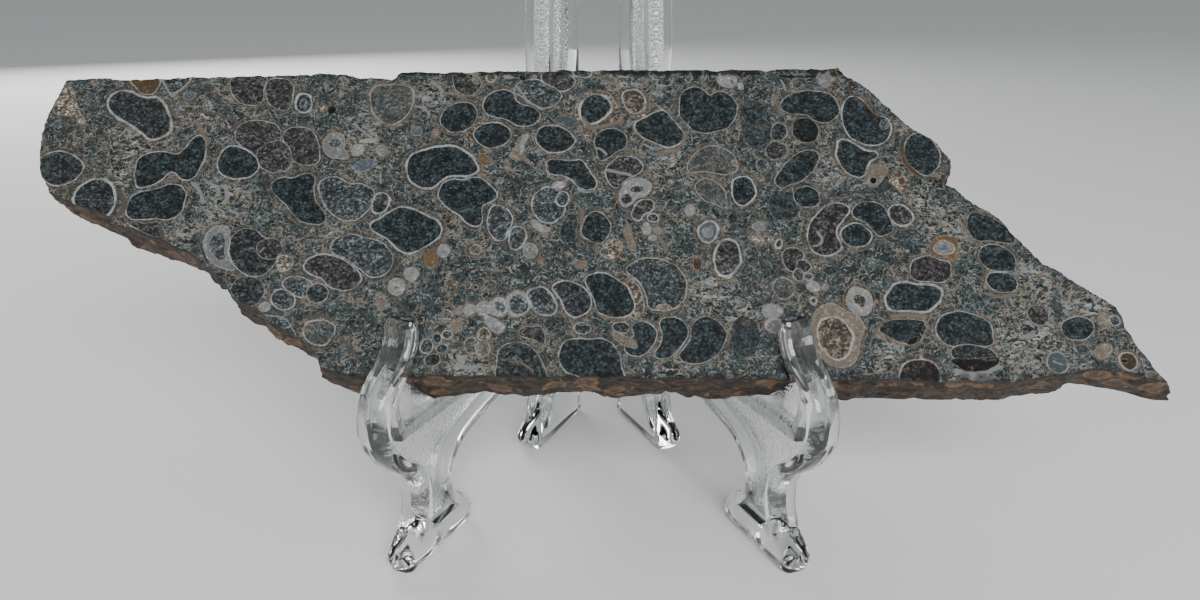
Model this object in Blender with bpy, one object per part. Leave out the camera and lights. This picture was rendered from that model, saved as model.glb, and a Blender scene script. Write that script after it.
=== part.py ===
"""A polished slice of turritella fossil rock, leaning on a clear easel of two moulded frames."""

import math

import bmesh
import bpy
from mathutils import Vector, noise

MM = 0.001

# The easel: two flat frames that converge towards the back, each a plate with sunk panels
PLATE_THICKNESS = 6.5 * MM
PANEL_DEPTH = 2.0 * MM
RIM_WIDTH = 2.6 * MM
LIP_RIM_WIDTH = 1.1 * MM
LIP_BACK = 10.0 * MM
NARROWEST_PANEL = 0.6 * MM
LONGEST_CORNER = 0.4
LIP_RIM_FROM, LIP_RIM_FULL = 37.0 * MM, 44.0 * MM
SOLID_FOOT_HEIGHT = 5.5 * MM
EDGE_ROUND = 0.8 * MM
SPREAD = math.radians(22.4)
FRONT_HALF_GAP = 36.1 * MM
OUTLINE_STEP = 2.8 * MM

# The two slides that hold the frames together behind the stone
SLIDE_BOTTOMS = (22.0 * MM, 58.0 * MM)
SLIDE_HEIGHT = 16.0 * MM
SLIDE_BACK = 76.0 * MM
SOCKET_DEPTH = 10.0 * MM
SOCKET_REACH = 2.6 * MM
HEAD_WIDTH = 6.0 * MM
HEAD_LENGTH = 2.6 * MM
NECK_WIDTH = 2.6 * MM
WALL_BEFORE_HEAD = 1.6 * MM
FIT_GAP = 0.3 * MM
LUG_OVERLAP = 2.65 * MM

# The stone: a slice with parallel sawn faces, leaning back
LEAN = math.radians(42.4)
SLICE_THICKNESS = 10.4 * MM
FOOT_Y = 3.45 * MM
FOOT_Z = 40.8 * MM
# Its broken edge, in layers: how deep each lies, as a share of the thickness, and how far it swells
EDGE_STEP = 2.0 * MM
EDGE_LAYERS = ((0.14, 0.20 * MM), (0.42, 0.42 * MM), (0.76, 0.31 * MM), (1.0, 0.0))
CHIP_SIZE, CHIP_WAVE = 0.45 * MM, 3.0 * MM
LUMP_SIZE, LUMP_WAVE = 1.28 * MM, 9.0 * MM
GRAIN_SIZE, GRAIN_WAVE = 0.64 * MM, 2.6 * MM
LUMP_PHASE = Vector((7.0, 3.0, 1.0))
FULL_ROUGHNESS_DEPTH = 0.25
# The right tip slants out towards the back face
TIP_FLARE = 5.0 * MM
TIP_FLARE_FROM, TIP_FLARE_FULL = 92.0 * MM, 108.0 * MM

SHARP_EDGE = math.radians(60.0)
SAME_PLANE = math.radians(2.0)
SAME_PLACE = 0.02 * MM
CORNER = "corner"

# Outline of one frame, in millimetres: distance back from the toes, then height.
# It goes up the front leg, over the lip, along the shelf, over the post and back under.
FRAME_OUTLINE = [
    (-1.2, 0.0, CORNER), (-2.3, 3.4), (-0.7, 5.3), (1.7, 7.4), (3.5, 10.4), (4.1, 13.8), (3.5, 17.2),
    (1.6, 20.0), (-1.6, 22.5), (-5.0, 25.7), (-7.7, 29.6), (-8.5, 33.5), (-8.1, 37.0), (-6.3, 40.5),
    (-3.0, 43.2), (0.7, 45.4), (2.6, 48.8), (3.4, 51.7), (4.8, 52.7), (6.1, 51.2), (6.1, 47.9),
    (4.6, 44.9), (1.8, 42.1), (-0.5, 39.6), (-1.1, 36.4), (0.1, 32.8, CORNER),
    (64.5, 32.8, CORNER), (64.5, 95.0, CORNER), (65.3, 108.0), (67.2, 120.0), (71.0, 126.0),
    (74.6, 127.0), (78.2, 126.0), (81.9, 120.0), (83.6, 110.0), (83.6, 95.0, CORNER),
    (83.6, 0.0, CORNER), (57.6, 0.0, CORNER), (55.5, 2.2), (55.8, 4.7),
    (59.2, 7.0), (62.4, 10.0), (63.7, 14.0), (62.4, 19.6), (57.5, 23.2), (50.0, 23.9), (38.4, 22.7),
    (26.7, 20.8), (20.3, 19.0), (17.0, 16.2), (15.8, 12.8), (17.4, 9.8), (20.8, 7.2), (23.4, 4.2),
    (23.5, 1.5), (22.0, 0.0, CORNER), (12.6, 0.0, CORNER), (10.8, 1.4), (8.8, 0.0, CORNER),
]

# Outline of the polished face, in millimetres: distance right of the easel's middle, then up the face.
# It starts at the top left corner and goes clockwise.
FACE_OUTLINE = [
    (-116.1, 68.6), (-107.7, 69.2), (-103.2, 68.6), (-87.0, 69.4), (-65.2, 69.9), (-60.9, 70.4),
    (-55.4, 69.9), (-51.9, 69.2), (-45.0, 68.8), (-43.4, 70.5), (-28.1, 70.8), (0.3, 71.3),
    (33.2, 71.3), (52.5, 71.7), (53.9, 69.7), (55.3, 69.1), (58.9, 66.0), (62.5, 61.3),
    (65.4, 57.4), (67.7, 55.6), (71.5, 52.3), (73.9, 48.6), (73.2, 45.7), (70.8, 43.0),
    (73.7, 41.3), (77.3, 37.8), (81.8, 34.3), (84.7, 29.7), (89.1, 24.0), (95.2, 19.6),
    (101.6, 14.6), (103.4, 7.0), (105.6, 2.7), (108.0, -0.9), (104.6, -0.2), (100.3, 1.3),
    (93.6, 1.4), (88.1, 0.3), (78.8, -0.9), (72.8, -1.1), (57.0, -0.6), (19.2, -0.3),
    (-18.7, 0.1), (-49.0, 0.2), (-53.2, 2.1), (-54.7, 5.4), (-59.2, 8.9), (-63.5, 10.6),
    (-66.7, 13.8), (-72.4, 17.0), (-75.9, 21.6), (-80.0, 24.7), (-87.2, 29.0), (-98.3, 32.8),
    (-100.2, 34.9), (-108.6, 38.2), (-113.6, 40.6), (-116.2, 44.2), (-118.0, 50.6),
    (-118.3, 58.2), (-117.4, 63.6),
]


def clear_scene():
    for thing in list(bpy.data.objects):
        bpy.data.objects.remove(thing)


def new_collection(name):
    group = bpy.data.collections.new(name)
    bpy.context.scene.collection.children.link(group)
    return group


def new_object(name, shape, group):
    """An object in the group whose mesh is that shape, with its faces pointing out."""
    mesh = bpy.data.meshes.new(name)
    bmesh.ops.recalc_face_normals(shape, faces=shape.faces)
    shape.to_mesh(mesh)
    shape.free()
    made = bpy.data.objects.new(name, mesh)
    group.objects.link(made)
    return made


def material(name, color, roughness, transmission, ior):
    made = bpy.data.materials.new(name)
    made.use_nodes = True
    shader = made.node_tree.nodes["Principled BSDF"]
    shader.inputs["Base Color"].default_value = (*color, 1.0)
    shader.inputs["Roughness"].default_value = roughness
    shader.inputs["Metallic"].default_value = 0.0
    shader.inputs["Transmission Weight"].default_value = transmission
    shader.inputs["IOR"].default_value = ior
    return made


# Lines


def smooth_line(points, step):
    """A closed line through the points, about a step apart, that only turns sharply at corners."""
    places = [Vector(p[:2]) * MM for p in points]
    sharp = [CORNER in p for p in points]
    count = len(places)
    line = []
    for i in range(count):
        k = (i + 1) % count
        start, end = places[i], places[k]
        chord = end - start
        leave = chord if sharp[i] else (end - places[i - 1]).normalized() * chord.length
        arrive = chord if sharp[k] else (places[(i + 2) % count] - start).normalized() * chord.length
        pieces = 1 if sharp[i] and sharp[k] else max(1, math.ceil(chord.length / step))
        for piece in range(pieces):
            t = piece / pieces
            line.append(
                start * (2 * t**3 - 3 * t**2 + 1)
                + leave * (t**3 - 2 * t**2 + t)
                + end * (3 * t**2 - 2 * t**3)
                + arrive * (t**3 - t**2)
            )
    return line


def outward_at(line, i):
    """Out of a clockwise line at its point i, longer at a corner so that both sides move alike."""
    before = (line[i] - line[i - 1]).normalized()
    after = (line[(i + 1) % len(line)] - line[i]).normalized()
    normal = Vector((-before.y, before.x))
    middle = (normal + Vector((-after.y, after.x))).normalized()
    return middle / max(middle.dot(normal), LONGEST_CORNER)


def distance_to(line, place):
    """How far the place is from the nearest stretch of a closed line."""
    best = math.inf
    for start, end in zip(line, line[1:] + line[:1]):
        along = end - start
        share = min(max((place - start).dot(along) / along.length_squared, 0.0), 1.0)
        best = min(best, (place - start - along * share).length)
    return best


def share_between(value, low, high):
    """Where the value lies from low, 0, to high, 1."""
    return min(max((value - low) / (high - low), 0.0), 1.0)


# Solids


def prism(line, thickness):
    """A flat block of that outline, centred on the plane x = 0, with the line's own x along y."""
    shape = bmesh.new()
    face = shape.faces.new([shape.verts.new((-thickness / 2, p.x, p.y)) for p in line])
    grown = bmesh.ops.extrude_face_region(shape, geom=[face])["geom"]
    far_side = [g for g in grown if isinstance(g, bmesh.types.BMVert)]
    bmesh.ops.translate(shape, verts=far_side, vec=(thickness, 0, 0))
    return shape


def cut_off_below(shape, height):
    """Takes away what is below that height and closes the cut."""
    everything = shape.verts[:] + shape.edges[:] + shape.faces[:]
    bmesh.ops.bisect_plane(
        shape, geom=everything, dist=0.001 * MM, plane_co=(0, 0, height), plane_no=(0, 0, 1),
        clear_inner=True,
    )
    bmesh.ops.holes_fill(shape, edges=[e for e in shape.edges if e.is_boundary])


def block(name, low, high, group):
    """A box from its lowest to its highest corner."""
    low, high = Vector(low), Vector(high)
    shape = bmesh.new()
    bmesh.ops.create_cube(shape, size=1.0)
    bmesh.ops.scale(shape, verts=shape.verts, vec=high - low)
    bmesh.ops.translate(shape, verts=shape.verts, vec=(low + high) / 2)
    return new_object(name, shape, group)


def combine(target, other, operation):
    """Joins another shape to the target or cuts it out. The other stays as a hidden cutter."""
    other.hide_render = True
    other.display_type = "WIRE"
    step = target.modifiers.new(other.name, "BOOLEAN")
    step.operation = operation
    step.solver = "EXACT"
    step.object = other


def apply_modifiers(target):
    """Makes the cuts final, merges what they leave double and joins faces in one plane."""
    bpy.context.view_layer.update()
    graph = bpy.context.evaluated_depsgraph_get()
    mesh = bpy.data.meshes.new_from_object(target.evaluated_get(graph))
    target.modifiers.clear()
    target.data = mesh
    shape = bmesh.new()
    shape.from_mesh(mesh)
    bmesh.ops.remove_doubles(shape, verts=shape.verts, dist=SAME_PLACE)
    bmesh.ops.dissolve_limit(
        shape, angle_limit=SAME_PLANE, verts=shape.verts, edges=shape.edges
    )
    shape.to_mesh(mesh)
    shape.free()


# The easel


def rim_at(place):
    """Width of the rim beside a panel: it thins out up the lip."""
    if place.x > LIP_BACK:
        return RIM_WIDTH
    up = share_between(place.y, LIP_RIM_FROM, LIP_RIM_FULL)
    return RIM_WIDTH + (LIP_RIM_WIDTH - RIM_WIDTH) * up


def panel_line(outline):
    """The edge of the sunk panel: the frame's outline moved in by the rim, without folds."""
    edge = []
    for i, place in enumerate(outline):
        rim = rim_at(place)
        inward = -outward_at(outline, i)
        deeper = place + inward * (rim + NARROWEST_PANEL / 2)
        if distance_to(outline, deeper) > rim:
            edge.append(place + inward * rim)
    return edge


def round_edges(target):
    """Chamfers the moulded edges, those between a flat side and a wall."""
    shape = bmesh.new()
    shape.from_mesh(target.data)
    sharp = [e for e in shape.edges if e.calc_face_angle(0.0) > SHARP_EDGE]
    along_sides = [e for e in sharp if abs(e.verts[0].co.x - e.verts[1].co.x) < SAME_PLACE]
    bmesh.ops.bevel(
        shape, geom=along_sides, offset=EDGE_ROUND, segments=1, profile=0.5, affect="EDGES",
        clamp_overlap=True, material=-1,
    )
    shape.to_mesh(target.data)
    shape.free()


def make_frame(name, side, parts, cutters):
    """One frame at its side, -1 or 1: the outline at full thickness, a panel sunk in each face."""
    outline = smooth_line(FRAME_OUTLINE, OUTLINE_STEP)
    made = new_object(name, prism(outline, PLATE_THICKNESS), parts)
    for face in (-1, 1):
        hollow = prism(panel_line(outline), 2 * PANEL_DEPTH)
        cut_off_below(hollow, SOLID_FOOT_HEIGHT)
        panel = new_object(f"{name}_panel_{face}", hollow, cutters)
        panel.location.x = face * PLATE_THICKNESS / 2
        combine(made, panel, "DIFFERENCE")
    apply_modifiers(made)
    round_edges(made)
    half = PLATE_THICKNESS / 2
    made.rotation_euler.z = side * SPREAD
    made.location.x = side * (FRONT_HALF_GAP + half * math.cos(SPREAD))
    made.location.y = half * math.sin(SPREAD)
    return made


def slide_blocks(bottom, cutters):
    """The boxes of one slide: the left's socket block, the two of its slot, the two of the key."""
    top = bottom + SLIDE_HEIGHT
    middle = SLIDE_BACK - SOCKET_DEPTH / 2
    root = FRONT_HALF_GAP - math.tan(SPREAD) * middle + LUG_OVERLAP
    head_end = SOCKET_REACH - WALL_BEFORE_HEAD - FIT_GAP
    head_start = head_end - HEAD_LENGTH

    def box(name, x_range, width, gap=0.0, over=0.0):
        low = (x_range[0] - gap, middle - width / 2 - gap, bottom - over)
        high = (x_range[1] + gap, middle + width / 2 + gap, top + over)
        return block(f"{name}_{bottom / MM:.0f}", low, high, cutters)

    socket = box("socket", (-root, SOCKET_REACH), SOCKET_DEPTH)
    slots = (
        box("head_slot", (head_start, head_end), HEAD_WIDTH, FIT_GAP, MM),
        box("neck_slot", (head_start, SOCKET_REACH + MM), NECK_WIDTH, FIT_GAP, MM),
    )
    keys = (
        box("head", (head_start, head_end), HEAD_WIDTH),
        box("neck", (head_end - MM, root), NECK_WIDTH),
    )
    return socket, slots, keys


def add_slides(left, right, cutters):
    """Two T-shaped keys on the right frame, each in a slot of a block on the left frame."""
    for bottom in SLIDE_BOTTOMS:
        socket, slots, keys = slide_blocks(bottom, cutters)
        combine(left, socket, "UNION")
        for slot in slots:
            combine(left, slot, "DIFFERENCE")
        for key in keys:
            combine(right, key, "UNION")
    apply_modifiers(left)
    apply_modifiers(right)


# The stone


def chipped_line(outline):
    """The slice's outline in short steps, each moved a little, as small chips."""
    corners = [Vector(p) * MM for p in outline]
    line = []
    for start, end in zip(corners, corners[1:] + corners[:1]):
        count = max(1, round((end - start).length / EDGE_STEP))
        line += [start.lerp(end, k / count) for k in range(count)]
    moved = []
    for i, place in enumerate(line):
        chip = noise.noise(place.to_3d() / CHIP_WAVE) * CHIP_SIZE
        moved.append(place + outward_at(line, i).normalized() * chip)
    return moved


def edge_offset(place, depth, swell):
    """How far the slice's edge stands out there: it swells between the faces, in lumps."""
    at = Vector((place.x, place.y, depth * SLICE_THICKNESS))
    lump = noise.noise(at / LUMP_WAVE + LUMP_PHASE) * LUMP_SIZE
    grain = noise.noise(at / GRAIN_WAVE) * GRAIN_SIZE
    return swell + (lump + grain) * min(1.0, depth / FULL_ROUGHNESS_DEPTH)


def make_slab(name, parts):
    """The stone: the polished face's outline carried back through its thickness."""
    line = chipped_line(FACE_OUTLINE)
    shape = bmesh.new()
    number = shape.verts.layers.int.new("number")
    corners = [shape.verts.new((p.x, p.y, 0.0)) for p in line]
    for i, corner in enumerate(corners):
        corner[number] = i
    polished = shape.faces.new(corners)
    face = polished
    for depth, swell in EDGE_LAYERS:
        last = face
        grown = bmesh.ops.extrude_face_region(shape, geom=[last])["geom"]
        face = next(g for g in grown if isinstance(g, bmesh.types.BMFace))
        if last != polished:
            shape.faces.remove(last)
        for vert in face.verts:
            place = line[vert[number]]
            out = outward_at(line, vert[number]).normalized()
            moved = place + out * edge_offset(place, depth, swell)
            flare = share_between(place.x, TIP_FLARE_FROM, TIP_FLARE_FULL) * TIP_FLARE * depth
            vert.co = (moved.x + flare, moved.y, -depth * SLICE_THICKNESS)
    made = new_object(name, shape, parts)
    made.rotation_euler.x = math.radians(90.0) - LEAN
    made.location = (0.0, FOOT_Y, FOOT_Z)
    return made


def centre_footprint(pieces, parts):
    """Moves the whole display so that its box stands centred over the origin."""
    display = bpy.data.objects.new("display", None)
    parts.objects.link(display)
    for piece in pieces:
        piece.parent = display
    bpy.context.view_layer.update()
    corners = [piece.matrix_world @ v.co for piece in pieces for v in piece.data.vertices]
    for axis in (0, 1):
        ends = [corner[axis] for corner in corners]
        display.location[axis] = -(min(ends) + max(ends)) / 2


clear_scene()
display_parts = new_collection("turritella_slab_display")
cutting_shapes = new_collection("cutters")

left_frame = make_frame("left_frame", -1, display_parts, cutting_shapes)
right_frame = make_frame("right_frame", 1, display_parts, cutting_shapes)
add_slides(left_frame, right_frame, cutting_shapes)
clear_plastic = material("clear_plastic", (0.96, 0.97, 0.97), 0.05, 1.0, 1.49)
left_frame.data.materials.append(clear_plastic)
right_frame.data.materials.append(clear_plastic)

slab = make_slab("slab", display_parts)
slab.data.materials.append(material("turritella_stone", (0.16, 0.18, 0.18), 0.25, 0.0, 1.54))

centre_footprint((slab, left_frame, right_frame), display_parts)
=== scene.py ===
"""A polished slice of turritella fossil rock on a clear easel of two moulded frames: the finished look."""

import math

import bmesh
import bpy
import numpy as np
from mathutils import Matrix, Vector, noise


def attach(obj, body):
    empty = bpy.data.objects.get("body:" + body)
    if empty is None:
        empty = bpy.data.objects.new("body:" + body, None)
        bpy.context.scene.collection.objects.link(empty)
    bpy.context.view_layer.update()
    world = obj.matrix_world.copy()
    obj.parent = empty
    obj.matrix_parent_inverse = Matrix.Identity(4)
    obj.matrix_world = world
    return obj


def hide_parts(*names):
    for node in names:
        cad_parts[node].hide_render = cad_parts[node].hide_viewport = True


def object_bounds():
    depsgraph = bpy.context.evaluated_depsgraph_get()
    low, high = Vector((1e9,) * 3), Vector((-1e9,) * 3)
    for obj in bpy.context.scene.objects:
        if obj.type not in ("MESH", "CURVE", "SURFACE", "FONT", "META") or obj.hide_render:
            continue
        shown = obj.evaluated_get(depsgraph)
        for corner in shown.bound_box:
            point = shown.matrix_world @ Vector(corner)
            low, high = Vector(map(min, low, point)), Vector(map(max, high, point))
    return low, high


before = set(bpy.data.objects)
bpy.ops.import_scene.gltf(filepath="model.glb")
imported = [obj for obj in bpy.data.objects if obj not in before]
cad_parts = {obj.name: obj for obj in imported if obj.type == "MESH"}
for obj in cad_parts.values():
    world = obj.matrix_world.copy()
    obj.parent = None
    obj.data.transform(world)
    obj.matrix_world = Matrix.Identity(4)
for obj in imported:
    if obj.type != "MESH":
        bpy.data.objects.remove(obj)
CAD_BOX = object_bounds()

bl_info = {
    "name": "Turritella slab on a clear easel",
    "version": (1, 0, 0),
    "blender": (4, 5, 0),
    "location": "3D View > Sidebar > Fossil",
    "description": "Makes a polished slice of fossil rock, its clear moulded easel and a plain stage",
    "category": "Add Mesh",
}

MM = 0.001

# Where the easel's own middle, between its front toes, lies in the frame
EASEL_MIDDLE = Vector((3.079, -36.025, 0.0)) * MM

# The stone's own axes: x right, y up the polished face, z out of it
LEAN = math.radians(42.4)
STONE_FOOT = EASEL_MIDDLE + Vector((0.0, 3.45, 40.8)) * MM
STONE_PLACE = Matrix.Translation(STONE_FOOT) @ Matrix.Rotation(math.radians(90.0) - LEAN, 4, "X")
SLICE_THICKNESS = 10.4 * MM

# The easel's frames, as they are built
PLATE_THICKNESS = 6.5 * MM
PANEL_DEPTH = 2.0 * MM
RIM_WIDTH = 2.6 * MM
LIP_RIM_WIDTH = 1.1 * MM
LIP_BACK = 10.0 * MM
LIP_RIM_FROM, LIP_RIM_FULL = 37.0 * MM, 44.0 * MM
NARROWEST_PANEL = 1.2 * MM
LONGEST_CORNER = 0.4
SOLID_FOOT_HEIGHT = 5.5 * MM
SPREAD = math.radians(22.4)
FRONT_HALF_GAP = 36.1 * MM
SLIDE_BOTTOMS = (22.0 * MM, 58.0 * MM)
SLIDE_HEIGHT = 16.0 * MM
SLIDE_BACK = 76.0 * MM
SOCKET_DEPTH = 10.0 * MM
SOCKET_REACH = 2.6 * MM
HEAD_WIDTH = 6.0 * MM
HEAD_LENGTH = 2.6 * MM
NECK_WIDTH = 2.6 * MM
WALL_BEFORE_HEAD = 1.6 * MM
FIT_GAP = 0.3 * MM
LUG_OVERLAP = 2.65 * MM

PEBBLED = 1

CORNER = "corner"
SAME_PLACE = 0.01 * MM
FLAT = 0.02 * MM

# Outline of one frame, in millimetres: distance back from the toes, then height.
# It goes up the front leg, over the lip, along the shelf, over the post and back under.
FRAME_OUTLINE = [
    (-1.2, 0.0, CORNER), (-2.3, 3.4), (-0.7, 5.3), (1.7, 7.4), (3.5, 10.4), (4.1, 13.8), (3.5, 17.2),
    (1.6, 20.0), (-1.6, 22.5), (-5.0, 25.7), (-7.7, 29.6), (-8.5, 33.5), (-8.1, 37.0), (-6.3, 40.5),
    (-3.0, 43.2), (0.7, 45.4), (2.6, 48.8), (3.4, 51.7), (4.8, 52.7), (6.1, 51.2), (6.1, 47.9),
    (4.6, 44.9), (1.8, 42.1), (-0.5, 39.6), (-1.1, 36.4), (0.1, 32.8, CORNER),
    (64.5, 32.8, CORNER), (64.5, 95.0, CORNER), (65.3, 108.0), (67.2, 120.0), (71.0, 126.0),
    (74.6, 127.0), (78.2, 126.0), (81.9, 120.0), (83.6, 110.0), (83.6, 95.0, CORNER),
    (83.6, 0.0, CORNER), (57.6, 0.0, CORNER), (55.5, 2.2), (55.8, 4.7),
    (59.2, 7.0), (62.4, 10.0), (63.7, 14.0), (62.4, 19.6), (57.5, 23.2), (50.0, 23.9), (38.4, 22.7),
    (26.7, 20.8), (20.3, 19.0), (17.0, 16.2), (15.8, 12.8), (17.4, 9.8), (20.8, 7.2), (23.4, 4.2),
    (23.5, 1.5), (22.0, 0.0, CORNER), (12.6, 0.0, CORNER), (10.8, 1.4), (8.8, 0.0, CORNER),
]

# Markings: sizes in millimetres along the stone's own axes
SHELL_STEP = 0.7 * MM
OVAL_POINTS = 12
CLEAR_OF_WALL = 0.45
MARK_REACH = 3.2
FAR = 9.0
FULL_COVER = 0.97
FAINT_COVERS = {"ghost": 0.22, "haze": 0.80}
EVEN = ("white", "pale", "cream", "sand", "blue", "gold", "mint", "moss", "rust")
EVEN_GRAIN = 0.22
SAW_CENTER = (60.0, 260.0, 0.0)
WAVER_SEED = 7

# Finishes
POLISH_GLINT = 0.18
SAWN_ROUGHNESS, RIND_ROUGHNESS, FLOOR_ROUGHNESS = 0.78, 0.72, 0.8
PLASTIC_IOR = 1.49
PLASTIC_ROUGHNESS, PEBBLE_ROUGHNESS = 0.02, 0.12
PLASTIC_DENSITY = 12.0

# The stage, in metres, and the camera, in millimetres from the easel's middle
LAMP_SIZE = (0.7, 0.5)
LAMP_AIM = Vector((0.0, 0.0, 0.06))
FRONT_LAMP_PLACE = (0.22, -0.95, 0.55)
BACK_LAMP_PLACE = (-0.55, 0.95, 0.45)
SKY_COLOR = (0.9, 0.93, 0.96, 1.0)
SKY_STRENGTH = 0.45
EYE_PLACE = Vector((0.3, -172.6, 114.8))
LOOKING_DOWN = 18.4
SENSOR_WIDTH = 36.0

# The sawn back shows the same rock 10 mm deeper, so its shells lie elsewhere
BACK_FLIP = np.array([-1.0, 1.0])
BACK_SHIFT = np.array([-14.0, -3.5])

# What fills the shells: a tint, and how light it is
TINTS = {
    "inky": (0.7, 1.0, 1.1), "misty": (0.85, 1.0, 1.05), "bluish": (0.8, 1.0, 1.2), "plain": (1.0, 1.0, 1.0),
    "plummy": (1.05, 0.95, 1.0), "warm": (1.2, 1.0, 0.8), "earthy": (1.5, 1.0, 0.5),
}
FILLS = {
    "black": ("plain", 0.002), "deep": ("inky", 0.005), "umber": ("warm", 0.008), "dark": ("inky", 0.012),
    "teal": ("inky", 0.012), "haze": ("inky", 0.013), "slate": ("misty", 0.016), "plum": ("plummy", 0.015),
    "brown": ("plain", 0.02), "dusk": ("misty", 0.025), "moss": ("earthy", 0.02), "rust": ("earthy", 0.03),
    "grey": ("misty", 0.03), "crystal": ("warm", 0.035), "ghost": ("misty", 0.04), "mint": ("inky", 0.045),
    "tan": ("warm", 0.045), "gold": ("earthy", 0.05), "pink": ("warm", 0.06), "blue": ("bluish", 0.06),
    "cream": ("warm", 0.08), "sand": ("warm", 0.09), "pale": ("plain", 0.1), "white": ("plain", 0.14),
}

# Beds of crushed shell: middle and reach
SHARD_BEDS = [
    (-97.0, 51.0, 6.5), (-86.0, 60.0, 5.0), (-78.0, 39.0, 5.5), (-84.0, 31.0, 3.5), (-50.0, 55.0, 4.5),
    (-48.0, 46.0, 2.5), (-54.0, 32.0, 3.0), (-36.0, 64.0, 4.0), (-24.0, 2.0, 5.0), (-28.0, 12.0, 3.0),
    (15.0, 46.5, 4.0), (5.0, 68.0, 4.0), (14.0, 67.0, 3.0), (22.0, 17.5, 5.5), (28.0, 14.0, 4.0),
    (48.0, 46.0, 4.0), (70.0, 32.0, 5.5), (67.0, 38.0, 3.0), (83.0, 8.0, 6.5), (86.0, 20.0, 4.0),
    (72.0, 0.0, 3.5), (96.0, 14.0, 4.0), (55.0, 4.0, 3.0), (14.0, 1.0, 3.5), (-100.0, 44.0, 3.0),
]

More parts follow.
